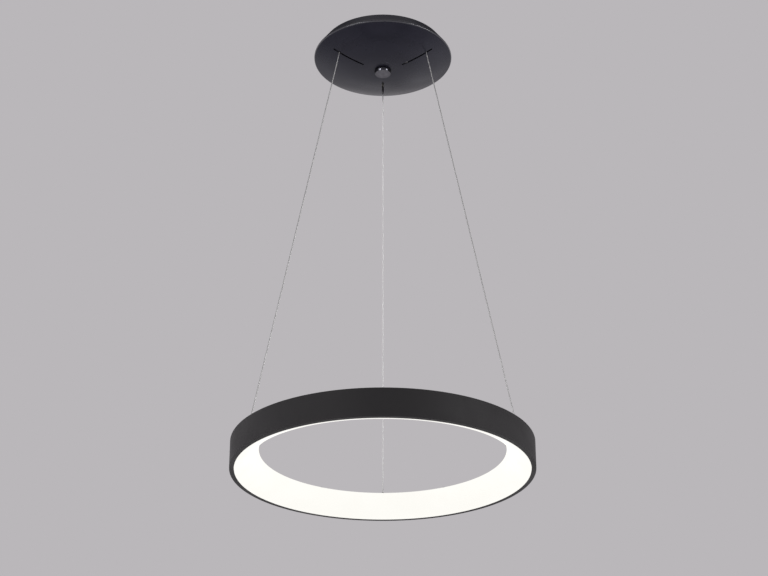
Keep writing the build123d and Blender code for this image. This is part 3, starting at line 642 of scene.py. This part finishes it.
@dataclass(frozen=True)
class MouldedPlastic(DustyFinish):
    """Moulded plastic or rubber with a spark-eroded grain."""

    depth: float = 0.04 * MM
    dust: float = 0.08
    dust_scale: float = 60.0
    dust_colour: Colour = (0.3, 0.29, 0.28)
    grain: float = 2600.0

    def paint(self, sheet: MaterialSheet) -> None:
        """Adds grain, mottling, haze and dust.

        Args:
            sheet: The material's node tree.
        """
        mould = sheet.effect(Effect.GRAIN, Scale=self.grain)
        mottled = self.shaded(sheet, mould["Mottle"], self.colour)
        sheet.set(
            Base_Color=sheet.tint(self.dust_mask(sheet), mottled, self.dust_colour),
            Roughness=self.hazed(sheet)["Value"])
        sheet.bump(mould["Height"], self.relief, self.depth)


@dataclass(frozen=True)
class LeadInsulation(MouldedPlastic):
    """Soft insulation of a lead, smoother than a moulding."""

    rough: float = 0.42
    depth: float = 0.015 * MM
    grain: float = 1900.0


@dataclass(frozen=True)
class SolderMask(Finish):
    """Circuit board: solder mask with raised copper tracks under it."""

    haze_scale: float = 90.0
    depth: float = 0.035 * MM
    track_colour: Colour = (0.04, 0.2, 0.08)
    track_edge: Pair = (0.5, 0.56)
    pitch: float = 420.0
    scatter: float = 0.85

    def paint(self, sheet: MaterialSheet) -> None:
        """Adds square-cornered tracks, a little lighter and higher than the board.

        Args:
            sheet: The material's node tree.
        """
        inputs = {"Vector": sheet.object_place(), "Scale": self.pitch, "Randomness": self.scatter}
        cells = sheet.add("ShaderNodeTexVoronoi", inputs, distance="CHEBYCHEV", feature="F2")
        tracks = sheet.spread(cells.outputs["Distance"], self.track_edge)
        sheet.set(
            Base_Color=sheet.tint(tracks, self.colour, self.track_colour),
            Roughness=self.hazed(sheet)["Value"])
        sheet.bump(tracks, self.relief, self.depth)


@dataclass(frozen=True)
class GlowingChip(Finish):
    """Phosphor-covered chip that gives the light."""

    shades: Pair = (1.0, 0.85)
    grain: float = 3200.0
    glow: Colour = (1.0, 0.9, 0.62)
    dimmest: float = 0.9
    strength: float = 2.0

    def paint(self, sheet: MaterialSheet) -> None:
        """Adds grainy phosphor that glows.

        Args:
            sheet: The material's node tree.
        """
        phosphor = sheet.effect(Effect.GRAIN, Scale=self.grain)
        dim_glow = shade(self.glow, self.dimmest)
        sheet.set(
            Base_Color=self.shaded(sheet, phosphor["Mottle"], self.colour),
            Emission_Color=sheet.tint(phosphor["Mottle"], self.glow, dim_glow),
            Emission_Strength=self.strength,
            Roughness=self.rough)
        sheet.bump(phosphor["Height"], self.relief, self.depth)


FINISHES: tuple[Finish, ...] = (
    PowderCoat("band_black", (0.0185, 0.0172, 0.0185), 0.58),
    PowderCoat("plate_black", (0.018, 0.017, 0.018), 0.56, dust=0.05),
    SpunLacquer("cover_black", (0.0082, 0.0084, 0.0128), 0.27),
    TurnedKnob("knob_metal", (0.085, 0.085, 0.098), 0.17),
    LitOpal("opal", (0.1, 0.1, 0.094), 0.34),
    GlowingChip("led", (0.9, 0.74, 0.25), 0.4),
    SolderMask("led_board", (0.8, 0.8, 0.78), 0.42, track_colour=(0.86, 0.86, 0.84), pitch=260.0),
    PlatedMetal(
        "steel_wire", (0.93, 0.93, 0.92), 0.46, scratch=2400.0, relief=0.03, haze_scale=1500.0),
    PlatedMetal("nickel", (0.62, 0.6, 0.56), 0.24),
    PlatedMetal("zinc", (0.58, 0.58, 0.56), 0.34),
    PlatedMetal("black_screw", (0.06, 0.06, 0.065), 0.42),
    PlatedMetal("brass_screw", (0.7, 0.5, 0.2), 0.3),
    GalvanisedSheet("galvanised", (0.52, 0.53, 0.54), 0.42),
    MouldedPlastic("nylon", (0.022, 0.022, 0.023), 0.55),
    MouldedPlastic(
        "grommet_rubber", (0.012, 0.012, 0.012), 0.72, grain=1700.0, depth=0.06 * MM, dust=0.14),
    MouldedPlastic("driver_grey", (0.035, 0.035, 0.037), 0.48),
    MouldedPlastic("terminal_white", (0.76, 0.76, 0.72), 0.4, grain=3200.0),
    MouldedPlastic("component", (0.03, 0.03, 0.036), 0.38),
    SolderMask("circuit_board", (0.02, 0.13, 0.05), 0.38),
    LeadInsulation("lead_brown", (0.13, 0.05, 0.018)),
    LeadInsulation("lead_blue", (0.02, 0.08, 0.3)),
    LeadInsulation("lead_black", (0.012, 0.012, 0.012)),
    LeadInsulation("lead_red", (0.34, 0.02, 0.018)),
)


def finish_name(slot: bpy.types.MaterialSlot) -> str:
    """The finish that a CAD node's material slot asks for."""
    return slot.material.name.split(".")[0]


@dataclass
class Palette:
    """Every finish as a material, made once."""

    materials: dict[str, bpy.types.Material] = field(default_factory=dict)

    def mix(self, finishes: Iterable[Finish]) -> None:
        """Builds the finishes' materials."""
        for finish in finishes:
            self.materials[finish.slot] = finish.material()

    def dress_node(self, name: str) -> None:
        """Gives a CAD node the finish of its own slot.

        Args:
            name: The node's name.
        """
        for slot in frame["nodes"][name].material_slots:
            slot.material = self.materials[finish_name(slot)]
        LOG.info("node %s dressed", name)

    def dress_piece(self, piece: Piece, slot: str) -> None:
        """Gives a new piece one finish and names its slot.

        Args:
            piece: The piece.
            slot: The finish's slot.
        """
        piece.data.materials.clear()
        piece.data.materials.append(self.materials[slot])


@dataclass
class SubAssembly:
    """A CAD body and what is modelled on it."""

    palette: Palette
    body: str = ""

    def nodes(self) -> list[str]:
        """The CAD nodes of this body."""
        return frame["record"]["behaviour"]["bodies"][self.body]

    def build(self) -> None:
        """Models what the CAD nodes don't show; nothing by default."""

    def dress(self) -> None:
        """Gives every CAD node of the body its finish."""
        for name in self.nodes():
            self.palette.dress_node(name)


class Cut(Enum):
    """How one solid shapes another."""

    TRIM = "INTERSECT"
    BORE = "DIFFERENCE"


class End(Enum):
    """An end of an upright bar, and which way along z it faces."""

    LOWER = -1.0
    UPPER = 1.0


class Bench:
    """Modelling steps for turned, threaded and hexagonal pieces."""

    THREAD_STEPS: ClassVar[int] = 24
    SPARE_TURNS: ClassVar[int] = 2
    MERGE: ClassVar[float] = 0.002 * MM
    FLAT: ClassVar[float] = 0.001 * MM

    @staticmethod
    def take(*pieces: Piece) -> None:
        """Selects some pieces and nothing else.

        Args:
            pieces: The pieces; the last one becomes the active one.
        """
        bpy.ops.object.select_all(action="DESELECT")
        for piece in pieces:
            piece.select_set(True)
        bpy.context.view_layer.objects.active = pieces[-1]

    @staticmethod
    def bar(
            name: str, radius: float, ends: Pair, sides: int, place: Vector,
            turn: float) -> Piece:
        """Adds an upright bar.

        Args:
            name: Name for the piece.
            radius: To its corners.
            ends: Heights of its lower and upper end.
            sides: Number of its sides.
            place: Where its axis stands; only x and y are used.
            turn: Turn about its axis, in degrees; at 0 a corner points along +Y.

        Returns:
            The bar, with its place in its mesh.
        """
        low, high = ends
        bpy.ops.object.select_all(action="DESELECT")
        bpy.ops.mesh.primitive_cylinder_add(
            vertices=sides, radius=radius, depth=high - low,
            location=(place.x, place.y, (low + high) / 2), rotation=(0.0, 0.0, math.radians(turn)))
        piece = bpy.context.object
        piece.name = piece.data.name = name
        bpy.ops.object.transform_apply(location=True, rotation=True, scale=True)
        return piece

    @staticmethod
    def draw_out(piece: Piece, reach: float, scale: float) -> None:
        """Extrudes and scales both end faces, for chamfers or countersinks.

        Args:
            piece: An upright bar.
            reach: How far each end is drawn out.
            scale: Size of the new end, as a share of the old one.
        """
        Bench.take(piece)
        for end in End:
            bpy.ops.object.mode_set(mode="EDIT")
            bpy.ops.mesh.select_mode(type="FACE")
            bpy.ops.mesh.select_all(action="DESELECT")
            bpy.ops.object.mode_set(mode="OBJECT")
            cap = max(piece.data.polygons, key=lambda face: end.value * face.center.z)
            cap.select = True
            step = end.value * reach * UP
            centre = cap.center + step
            bpy.ops.object.mode_set(mode="EDIT")
            bpy.ops.mesh.extrude_region_move(TRANSFORM_OT_translate={"value": tuple(step)})
            bpy.ops.transform.resize(value=(scale, scale, 1.0), center_override=tuple(centre))
            bpy.ops.object.mode_set(mode="OBJECT")

    @staticmethod
    def cut(piece: Piece, tool: Piece, kind: Cut) -> None:
        """Shapes a piece with another solid, which is used up.

        Args:
            piece: The piece.
            tool: The solid that shapes it.
            kind: How it does.
        """
        modifier = piece.modifiers.new("cut", "BOOLEAN")
        modifier.operation = kind.value
        modifier.solver = "EXACT"
        modifier.object = tool
        Bench.take(piece)
        bpy.ops.object.modifier_apply(modifier=modifier.name)
        bpy.data.meshes.remove(tool.data)

    @staticmethod
    def face_out(piece: Piece) -> None:
        """Turns all faces of a closed piece outwards.

        Args:
            piece: The piece.
        """
        Bench.take(piece)
        bpy.ops.object.mode_set(mode="EDIT")
        bpy.ops.mesh.select_all(action="SELECT")
        bpy.ops.mesh.normals_make_consistent(inside=False)
        bpy.ops.object.mode_set(mode="OBJECT")

    @staticmethod
    def smooth(piece: Piece, angle: float = 25.0) -> None:
        """Shades a finished piece smooth, up to an angle in degrees."""
        Bench.take(piece)
        bpy.ops.object.shade_smooth_by_angle(angle=math.radians(angle))

    @staticmethod
    def thread(name: str, root: float, crest: float, pitch: float, ends: Pair) -> Piece:
        """A threaded rod on the lamp's axis.

        Args:
            name: Name for the piece.
            root: Radius at the thread's root.
            crest: Radius at its crest.
            pitch: Rise of one turn.
            ends: Heights of the lower and upper end.

        Returns:
            The rod, cut flat and closed at both ends.
        """
        low, high = ends
        bpy.ops.object.select_all(action="DESELECT")
        bpy.ops.mesh.primitive_plane_add(size=2.0, location=(0.0, 0.0, 0.0))
        piece = bpy.context.object
        piece.name = piece.data.name = name
        # A plane's rim less one corner leaves three points in a row: the profile of one turn.
        bpy.ops.object.mode_set(mode="EDIT")
        bpy.ops.mesh.select_all(action="SELECT")
        bpy.ops.mesh.delete(type="ONLY_FACE")
        bpy.ops.mesh.select_mode(type="VERT")
        bpy.ops.mesh.select_all(action="DESELECT")
        bpy.ops.object.mode_set(mode="OBJECT")
        max(piece.data.vertices, key=lambda point: point.co.x + point.co.y).select = True
        bpy.ops.object.mode_set(mode="EDIT")
        bpy.ops.mesh.delete(type="VERT")
        bpy.ops.object.mode_set(mode="OBJECT")
        for point in piece.data.vertices:
            # 0 and 1 at the two roots, a half at the crest.
            along = (point.co.y - point.co.x) / 4 + 0.5
            radius = crest if 0.25 < along < 0.75 else root
            point.co = (radius, 0.0, low + (along - 1.0) * pitch)
        sweep = piece.modifiers.new("sweep", "SCREW")
        sweep.axis = "Z"
        sweep.angle = math.tau
        sweep.screw_offset = pitch
        sweep.iterations = math.ceil((high - low) / pitch) + Bench.SPARE_TURNS
        sweep.steps = sweep.render_steps = Bench.THREAD_STEPS
        bpy.ops.object.modifier_apply(modifier=sweep.name)
        bpy.ops.object.mode_set(mode="EDIT")
        bpy.ops.mesh.select_all(action="SELECT")
        bpy.ops.mesh.remove_doubles(threshold=Bench.MERGE)
        for end, height in zip(End, ends):
            bpy.ops.mesh.select_all(action="SELECT")
            bpy.ops.mesh.bisect(
                plane_co=(0.0, 0.0, height), plane_no=(0.0, 0.0, -end.value),
                use_fill=True, clear_inner=True, threshold=Bench.FLAT)
        bpy.ops.object.mode_set(mode="OBJECT")
        Bench.face_out(piece)
        return piece


@dataclass
class HexFixing:
    """A chamfered hexagonal nut or bolt head.

    Attributes:
        across: Width across flats.
        low: Height of its lower face.
        high: Height of its upper face.
        turn: Turn about its axis, in degrees.
        bore: Radius of a nut's hole; 0 for a bolt head.
        chamfer: Angle of the chamfers, in degrees.
        trim: Where a chamfer meets the face, as a share of half the width across flats.
        clear: Radius of the chamfering bar, as a share of the hexagon's to its corners.
        sink: Depth of the countersinks.
        past: How far the chamfering bar and the drill run on past the faces.
        round_sides: Sides of that bar and that drill.
    """

    SIDES: ClassVar[int] = 6

    across: float
    low: float
    high: float
    turn: float = 0.0
    bore: float = 0.0
    chamfer: float = 30.0
    trim: float = 0.95
    clear: float = 1.03
    sink: float = 0.4 * MM
    past: float = 1.0 * MM
    round_sides: int = 72

    def build(self, name: str, place: Vector) -> Piece:
        """Models the fixing.

        Args:
            name: Name for the piece.
            place: Where its axis stands.

        Returns:
            A hexagon trimmed by a turned bar, and bored if it is a nut.
        """
        corner = self.across / math.sqrt(3.0)
        piece = Bench.bar(name, corner, (self.low, self.high), self.SIDES, place, self.turn)
        Bench.cut(piece, self.chamfering_bar(corner * self.clear, place), Cut.TRIM)
        if self.bore:
            Bench.cut(piece, self.drill(place), Cut.BORE)
        return piece

    def chamfering_bar(self, radius: float, place: Vector) -> Piece:
        """Turns the bar that leaves the chamfers.

        Args:
            radius: The bar's radius.
            place: Where its axis stands.

        Returns:
            A bar with a cone at each end, turned so that its edges miss the hexagon's corners.
        """
        slope = math.tan(math.radians(self.chamfer))
        rise = (radius - self.across / 2 * self.trim) * slope
        reach = rise + self.past
        off_corner = self.turn + 180.0 / self.round_sides
        ends = (self.low + rise, self.high - rise)
        turned = Bench.bar("turned", radius, ends, self.round_sides, place, off_corner)
        Bench.draw_out(turned, reach, 1.0 - reach / slope / radius)
        return turned

    def drill(self, place: Vector) -> Piece:
        """Turns the drill that leaves a nut's hole and its countersinks.

        Args:
            place: Where its axis stands.

        Returns:
            A bar that widens at both ends.
        """
        ends = (self.low + self.sink, self.high - self.sink)
        reach = self.sink + self.past
        drill = Bench.bar("drill", self.bore, ends, self.round_sides, place, 0.0)
        Bench.draw_out(drill, reach, (self.bore + reach) / self.bore)
        return drill


@dataclass
class CeilingMount(SubAssembly):
    """The plate on the ceiling, with driver and grippers, and the bolt that carries the cover."""

    body: str = "ceiling_mount"
    gripper_nut: HexFixing = field(default_factory=lambda: HexFixing(
        13.0 * MM, -4.0 * MM, -1.0 * MM, bore=4.06 * MM))
    bolt_head: HexFixing = field(default_factory=lambda: HexFixing(
        10.0 * MM, -5.0 * MM, -1.4 * MM, turn=30.0))
    bolt_nut: HexFixing = field(default_factory=lambda: HexFixing(
        10.0 * MM, -11.5 * MM, -6.5 * MM, turn=30.0, bore=3.05 * MM))
    bolt_r: float = 3.0 * MM
    bolt_ends: Pair = (-51.7 * MM, -4.6 * MM)
    thread_depth: float = 0.6 * MM
    pitch: float = 1.0 * MM

    def hand_over(self, piece: Piece, node: str) -> None:
        """Lets a finished piece stand for a CAD node, in that node's finish.

        Args:
            piece: The piece.
            node: The node's name.
        """
        Bench.smooth(piece)
        self.palette.dress_piece(piece, finish_name(frame["nodes"][node].material_slots[0]))
        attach(piece, self.body)
        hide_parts(node)
        LOG.info("piece %s, for %s", piece.name, node)

    def build_gripper_nuts(self) -> None:
        """Models one nut on the lamp's axis, copies it, and moves each to its gripper."""
        nuts = [self.gripper_nut.build("gripper_hex_nut_1", ORIGIN)]
        for number in range(2, len(AZIMUTHS) + 1):
            nut = bpy.data.objects.new(f"gripper_hex_nut_{number}", nuts[0].data.copy())
            nut.data.name = nut.name
            bpy.context.scene.collection.objects.link(nut)
            nuts.append(nut)
        out = Matrix.Translation((0.0, GRIPPER_R, 0.0))
        for nut, azimuth in zip(nuts, AZIMUTHS):
            nut.data.transform(Matrix.Rotation(math.radians(azimuth - AZIMUTHS[0]), 4, "Z") @ out)
            self.hand_over(nut, "gripper_nuts")

    def build_bolt(self) -> None:
        """Models the threaded bolt with its head, and its nut."""
        root = self.bolt_r - self.thread_depth
        rod = Bench.thread("canopy_rod", root, self.bolt_r, self.pitch, self.bolt_ends)
        head = self.bolt_head.build("canopy_hex_bolt", ORIGIN)
        Bench.take(rod, head)
        bpy.ops.object.join()
        self.hand_over(head, "canopy_bolt")
        self.hand_over(self.bolt_nut.build("canopy_hex_nut", ORIGIN), "bolt_nut")

    def build(self) -> None:
        """Models the hexagonal fixings."""
        self.build_gripper_nuts()
        self.build_bolt()


@dataclass
class CanopyCover(SubAssembly):
    """The spun cover that hides the mount, and its washer."""

    body: str = "cover"


@dataclass
class CanopyKnob(SubAssembly):
    """The turned knob that holds the cover up."""

    body: str = "knob"


@dataclass
class GripperPlunger(SubAssembly):
    """One gripper's release plunger."""

    number: int = 1

    def __post_init__(self) -> None:
        """Names the plunger's body."""
        self.body = f"plunger_{self.number}"


@dataclass
class LitRing(SubAssembly):
    """The ring: band, top plate, boards, diffuser and the wires' anchors."""

    body: str = "ring"


@dataclass
class SuspensionWires(SubAssembly):
    """Three stranded steel wires, from the grippers to their ball ends on the ring.

    Attributes:
        diameter: Over the strands.
        anchor_r: Distance of a wire's ball end from the lamp's axis.
        top_z: Height of the upper end, in the gripper.
        bend_z: Height at which a wire leaves the vertical.
        ball_z: Height of the ball end.
        bend_reach: Length of the bend, in diameters.
        curve_steps: Points that the smooth curve is read at, for each of its parts.
        step: Least distance between the points that are kept.
        strands: Number of outer strands.
        points_per_strand: Corners of the outline on each.
        groove: Depth between two strands.
        lay: Length in which the strands turn once.
        smooth_to: Angle up to which the strands are shaded smooth, in degrees.
        joint: The joint that draws the wires in; not used.
        travel: How far it does; not used.
    """

    body: str = "ceiling_mount"
    diameter: float = 1.8 * MM
    anchor_r: float = 233.144 * MM
    top_z: float = -9.2 * MM
    bend_z: float = -22.7 * MM
    ball_z: float = -748.6 * MM
    bend_reach: float = 6.0
    curve_steps: int = 1024
    step: float = 1.2 * MM
    strands: int = 12
    points_per_strand: int = 4
    groove: float = 0.025 * MM
    lay: float = 18.0 * MM
    smooth_to: float = 60.0
    joint: str = "ring_height"
    travel: float = 350.0 * MM

    def nodes(self) -> list[str]:
        """The wires' own CAD nodes."""
        return [name for name in super().nodes() if name.startswith("suspension_wire")]

    def route(self, azimuth: float) -> list[Vector]:
        """Points of one wire's route.

        Args:
            azimuth: Direction of the wire from the lamp's axis, in degrees.

        Returns:
            Gripper, bend, a point just below the bend, and ball end.
        """
        turn = Matrix.Rotation(math.radians(azimuth), 3, "Z")
        top = Vector((GRIPPER_R, 0.0, self.top_z))
        bend = Vector((GRIPPER_R, 0.0, self.bend_z))
        ball = Vector((self.anchor_r, 0.0, self.ball_z))
        below = bend + (ball - bend).normalized() * self.bend_reach * self.diameter
        return [turn @ point for point in (top, bend, below, ball)]

    def centreline(self, name: str, route: list[Vector]) -> list[Vector]:
        """Points along the smooth spline through a route.

        Args:
            name: Name for the curve.
            route: The spline's control points.

        Returns:
            Points of the spline, about one step apart, with both of its ends.
        """
        curve = bpy.data.curves.new(name, "CURVE")
        curve.dimensions = "3D"
        spline = curve.splines.new("NURBS")
        spline.points.add(len(route) - 1)
        for point, place in zip(spline.points, route):
            point.co = (*place, 1.0)
        spline.order_u = 3
        spline.use_endpoint_u = True
        spline.resolution_u = self.curve_steps
        holder = bpy.data.objects.new(name, curve)
        bpy.context.scene.collection.objects.link(holder)
        line = bpy.data.meshes.new_from_object(holder)
        places = [vertex.co.copy() for vertex in line.vertices]
        bpy.data.objects.remove(holder)
        bpy.data.meshes.remove(line)
        bpy.data.curves.remove(curve)
        last = places[-1]
        kept = places[:1]
        for place in places[1:-1]:
            if (place - kept[-1]).length >= self.step and (place - last).length >= self.step / 2:
                kept.append(place)
        return [*kept, last]

    def outline(self) -> list[Pair]:
        """Draws the outer strands in cross-section.

        Returns:
            Angle and radius of points round them, with a groove between each two strands.
        """
        count = self.strands * self.points_per_strand
        pairs = []
        for index in range(count):
            sunk = self.groove if index % self.points_per_strand == 0 else 0.0
            pairs.append((math.tau * index / count, self.diameter / 2 - sunk))
        return pairs

    def strand_mesh(self, name: str, line: list[Vector], side: Vector) -> bpy.types.Mesh:
        """Twists strands round a line.

        Args:
            name: Name for the mesh.
            line: Points along the middle.
            side: A direction square to the plane that the line lies in.

        Returns:
            A closed tube whose outline turns once in each lay.
        """
        outline = self.outline()
        count = len(outline)
        corners: list[Vector] = []
        run = 0.0
        for index, place in enumerate(line):
            run += (place - line[index - 1]).length if index else 0.0
            ahead = line[min(index + 1, len(line) - 1)] - line[max(index - 1, 0)]
            across = ahead.cross(side).normalized()
            twist = math.tau * run / self.lay
            for angle, radius in outline:
                turn = angle + twist
                corners.append(place + radius * (math.cos(turn) * side + math.sin(turn) * across))
        faces = [tuple(reversed(range(count)))]
        for ring in range(len(line) - 1):
            low = ring * count
            high = low + count
            for index in range(count):
                beside = (index + 1) % count
                faces.append((low + index, low + beside, high + beside, high + index))
        last = (len(line) - 1) * count
        faces.append(tuple(range(last, last + count)))
        mesh = bpy.data.meshes.new(name)
        mesh.from_pydata(corners, [], faces)
        return mesh

    def build(self) -> None:
        for number, azimuth in enumerate(AZIMUTHS, 1):
            name = f"stranded_wire_{number}"
            route = self.route(azimuth)
            top, bend, _, ball = route
            line = self.centreline(f"{name}_line", route)
            side = (ball - bend).cross(UP).normalized()
            piece = bpy.data.objects.new(name, self.strand_mesh(name, line, side))
            bpy.context.scene.collection.objects.link(piece)
            Bench.face_out(piece)
            Bench.smooth(piece, self.smooth_to)
            self.palette.dress_piece(piece, "steel_wire")
            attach(piece, self.body)
            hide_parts(f"suspension_wire_{number}")
            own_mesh(piece)


class LightKind(Enum):
    """What a studio light is for."""

    STRIP = "shows as a highlight"
    FILL = "only lightens"


@dataclass(frozen=True)
class StudioLight:
    """A soft rectangular light.

    Attributes:
        name: Its name.
        kind: What it is for.
        azimuth: Its direction in degrees, to the right from the camera's side.
        elevation: Its height above level in degrees, seen from the studio's target.
        away: Its distance from that target.
        width: Its width.
        height: Its height.
        watts: Its power.
    """

    name: str
    kind: LightKind
    azimuth: float
    elevation: float
    away: float
    width: float
    height: float
    watts: float


@dataclass
class Studio:
    """Floor, lights, backdrop colour and camera.

    Attributes:
        floor_z: Height of the floor.
        floor_side: Its width.
        floor_colour: Its colour.
        floor_shade: Factor on that colour in its faint mottling.
        floor_rough: Lowest and highest roughness of that mottling.
        floor_mottle: Scale of that mottling.
        fade: Distances between which the eye sees the floor turn into the backdrop.
        backdrop: The backdrop's colour.
        fill: Strength of the plain light from all round.
        wall_fade: Where the wall darkens in reflections, by the z of a ray's direction.
        upper_wall: Level of the wall above that.
        ceiling_fade: Where the ceiling begins in reflections, by the same z.
        ceiling: Level that the ceiling adds.
        target: What the lights face.
        camera_place: The camera's place.
        camera_pitch: Its pitch in degrees, 90 being level.
        lens: Its focal length in mm.
        sensor: Its sensor's width in mm.
        clip: Nearest and furthest distance that it shows.
        lights: The lights.
    """

    floor_z: float = -4.2
    floor_side: float = 120.0
    floor_colour: Colour = (0.72, 0.7, 0.72)
    floor_shade: float = 0.97
    floor_rough: Pair = (0.7, 0.8)
    floor_mottle: float = 0.6
    fade: Pair = (4.0, 18.0)
    backdrop: Colour = (0.491, 0.4735, 0.491)
    fill: float = 0.6
    wall_fade: Pair = (0.35, 0.65)
    upper_wall: float = 0.1
    ceiling_fade: Pair = (0.8, 0.95)
    ceiling: float = 0.36
    target: Place = (0.0, 0.0, -0.4)
    camera_place: Place = (0.002, -2.6615, -1.7445)
    camera_pitch: float = 115.65
    lens: float = 84.24
    sensor: float = 36.0
    clip: Pair = (0.05, 200.0)
    lights: tuple[StudioLight, ...] = (
        StudioLight("strip_left", LightKind.STRIP, -40.0, 9.0, 20.0, 9.0, 1.6, 460.0),
        StudioLight("strip_right", LightKind.STRIP, 58.0, 9.5, 20.0, 11.0, 1.6, 640.0),
        StudioLight("fill_left", LightKind.FILL, -92.0, 5.0, 4.0, 2.4, 2.4, 138.0),
        StudioLight("fill_right", LightKind.FILL, 92.0, 5.0, 4.0, 2.4, 2.4, 96.0),
        StudioLight("panel_right", LightKind.STRIP, 150.0, -20.0, 6.0, 5.0, 3.0, 16.0),
        StudioLight("panel_left", LightKind.STRIP, -163.0, -20.0, 6.0, 4.0, 3.0, 9.0),
        StudioLight("panel_low", LightKind.STRIP, 136.0, -42.0, 5.0, 3.4, 2.4, 9.0),
    )

    def lay_floor(self) -> None:
        """Adds a plain pale floor, which the eye sees fade into the backdrop far off."""
        bpy.ops.object.select_all(action="DESELECT")
        bpy.ops.mesh.primitive_plane_add(size=self.floor_side, location=(0.0, 0.0, self.floor_z))
        floor = bpy.context.object
        floor.name = "studio_floor"
        sheet = MaterialSheet("studio_floor")
        low, high = self.floor_rough
        mottle = sheet.effect(Effect.HAZE, Scale=self.floor_mottle, Low=low, High=high)
        darker = shade(self.floor_colour, self.floor_shade)
        sheet.set(
            Base_Color=sheet.tint(mottle["Mask"], self.floor_colour, darker),
            Roughness=mottle["Value"])
        place = {0: sheet.object_place()}
        away = sheet.add("ShaderNodeVectorMath", place, operation="LENGTH").outputs["Value"]
        seen = sheet.math("MULTIPLY", sheet.spread(away, self.fade), sheet.showing_rays())
        glow = sheet.add("ShaderNodeEmission", {"Color": (*self.backdrop, 1.0)}).outputs[0]
        blend = sheet.add("ShaderNodeMixShader", {0: seen, 1: sheet.shader.outputs[0], 2: glow})
        sheet.feed(sheet.output.inputs["Surface"], blend.outputs[0])
        floor.data.materials.append(sheet.material)

    def light_world(self) -> None:
        """Shows the backdrop's grey to eye, metal and glass, and a plain fill to the rest."""
        world = bpy.data.worlds.new("studio")
        world.use_nodes = True
        world.node_tree.nodes.clear()
        bpy.context.scene.world = world
        sheet = Sheet(world.node_tree)
        steepness = sheet.upright(sheet.add("ShaderNodeTexCoord").outputs["Generated"])
        wall = sheet.spread(steepness, self.wall_fade, 1.0, self.upper_wall)
        ceiling = sheet.spread(steepness, self.ceiling_fade, 0.0, self.ceiling)
        glossy = sheet.add("ShaderNodeLightPath").outputs["Is Glossy Ray"]
        level = sheet.spread(glossy, (0.0, 1.0), 1.0, sheet.math("ADD", wall, ceiling))
        shown = {"Color": (*self.backdrop, 1.0), "Strength": level}
        plain = {"Color": (*WHITE, 1.0), "Strength": self.fill}
        backdrop = sheet.add("ShaderNodeBackground", shown).outputs[0]
        fill = sheet.add("ShaderNodeBackground", plain).outputs[0]
        mixed = sheet.add("ShaderNodeMixShader", {0: sheet.showing_rays(), 1: fill, 2: backdrop})
        sheet.add("ShaderNodeOutputWorld", {"Surface": mixed.outputs[0]})

    def hang_light(self, light: StudioLight) -> None:
        """Adds one soft light that faces the lamp.

        Args:
            light: The light.
        """
        turn, rise = math.radians(light.azimuth), math.radians(light.elevation)
        level = math.cos(rise)
        towards = Vector((math.sin(turn) * level, -math.cos(turn) * level, math.sin(rise)))
        data = bpy.data.lights.new(light.name, "AREA")
        data.shape = "RECTANGLE"
        data.size, data.size_y = light.width, light.height
        data.energy = light.watts
        lamp = bpy.data.objects.new(light.name, data)
        lamp.location = Vector(self.target) + towards * light.away
        lamp.rotation_euler = (-towards).to_track_quat("-Z", "Y").to_euler()
        lamp.visible_glossy = light.kind is LightKind.STRIP
        lamp.visible_camera = False
        bpy.context.scene.collection.objects.link(lamp)

    def place_camera(self) -> None:
        """Puts the camera at the photograph's viewpoint."""
        data = bpy.data.cameras.new("camera")
        data.lens = self.lens
        data.sensor_width = self.sensor
        data.clip_start, data.clip_end = self.clip
        camera = bpy.data.objects.new("camera", data)
        camera.location = self.camera_place
        camera.rotation_euler = (math.radians(self.camera_pitch), 0.0, 0.0)
        bpy.context.scene.collection.objects.link(camera)
        bpy.context.scene.camera = camera

    def build(self) -> None:
        """Sets up the whole studio."""
        bpy.context.scene.view_settings.view_transform = "Standard"
        self.lay_floor()
        self.light_world()
        for light in self.lights:
            self.hang_light(light)
        self.place_camera()


def main() -> None:
    """Builds and dresses the lamp, then the studio."""
    logging.basicConfig(level=logging.INFO, format="%(message)s")
    palette = Palette()
    palette.mix(FINISHES)
    sub_assemblies: list[SubAssembly] = [
        SuspensionWires(palette),
        CeilingMount(palette),
        CanopyCover(palette),
        CanopyKnob(palette),
        *(GripperPlunger(palette, number=number) for number in range(1, len(AZIMUTHS) + 1)),
        LitRing(palette),
    ]
    for part in sub_assemblies:
        part.dress()
        part.build()
    Studio().build()


if __name__ == "__main__":
    main()
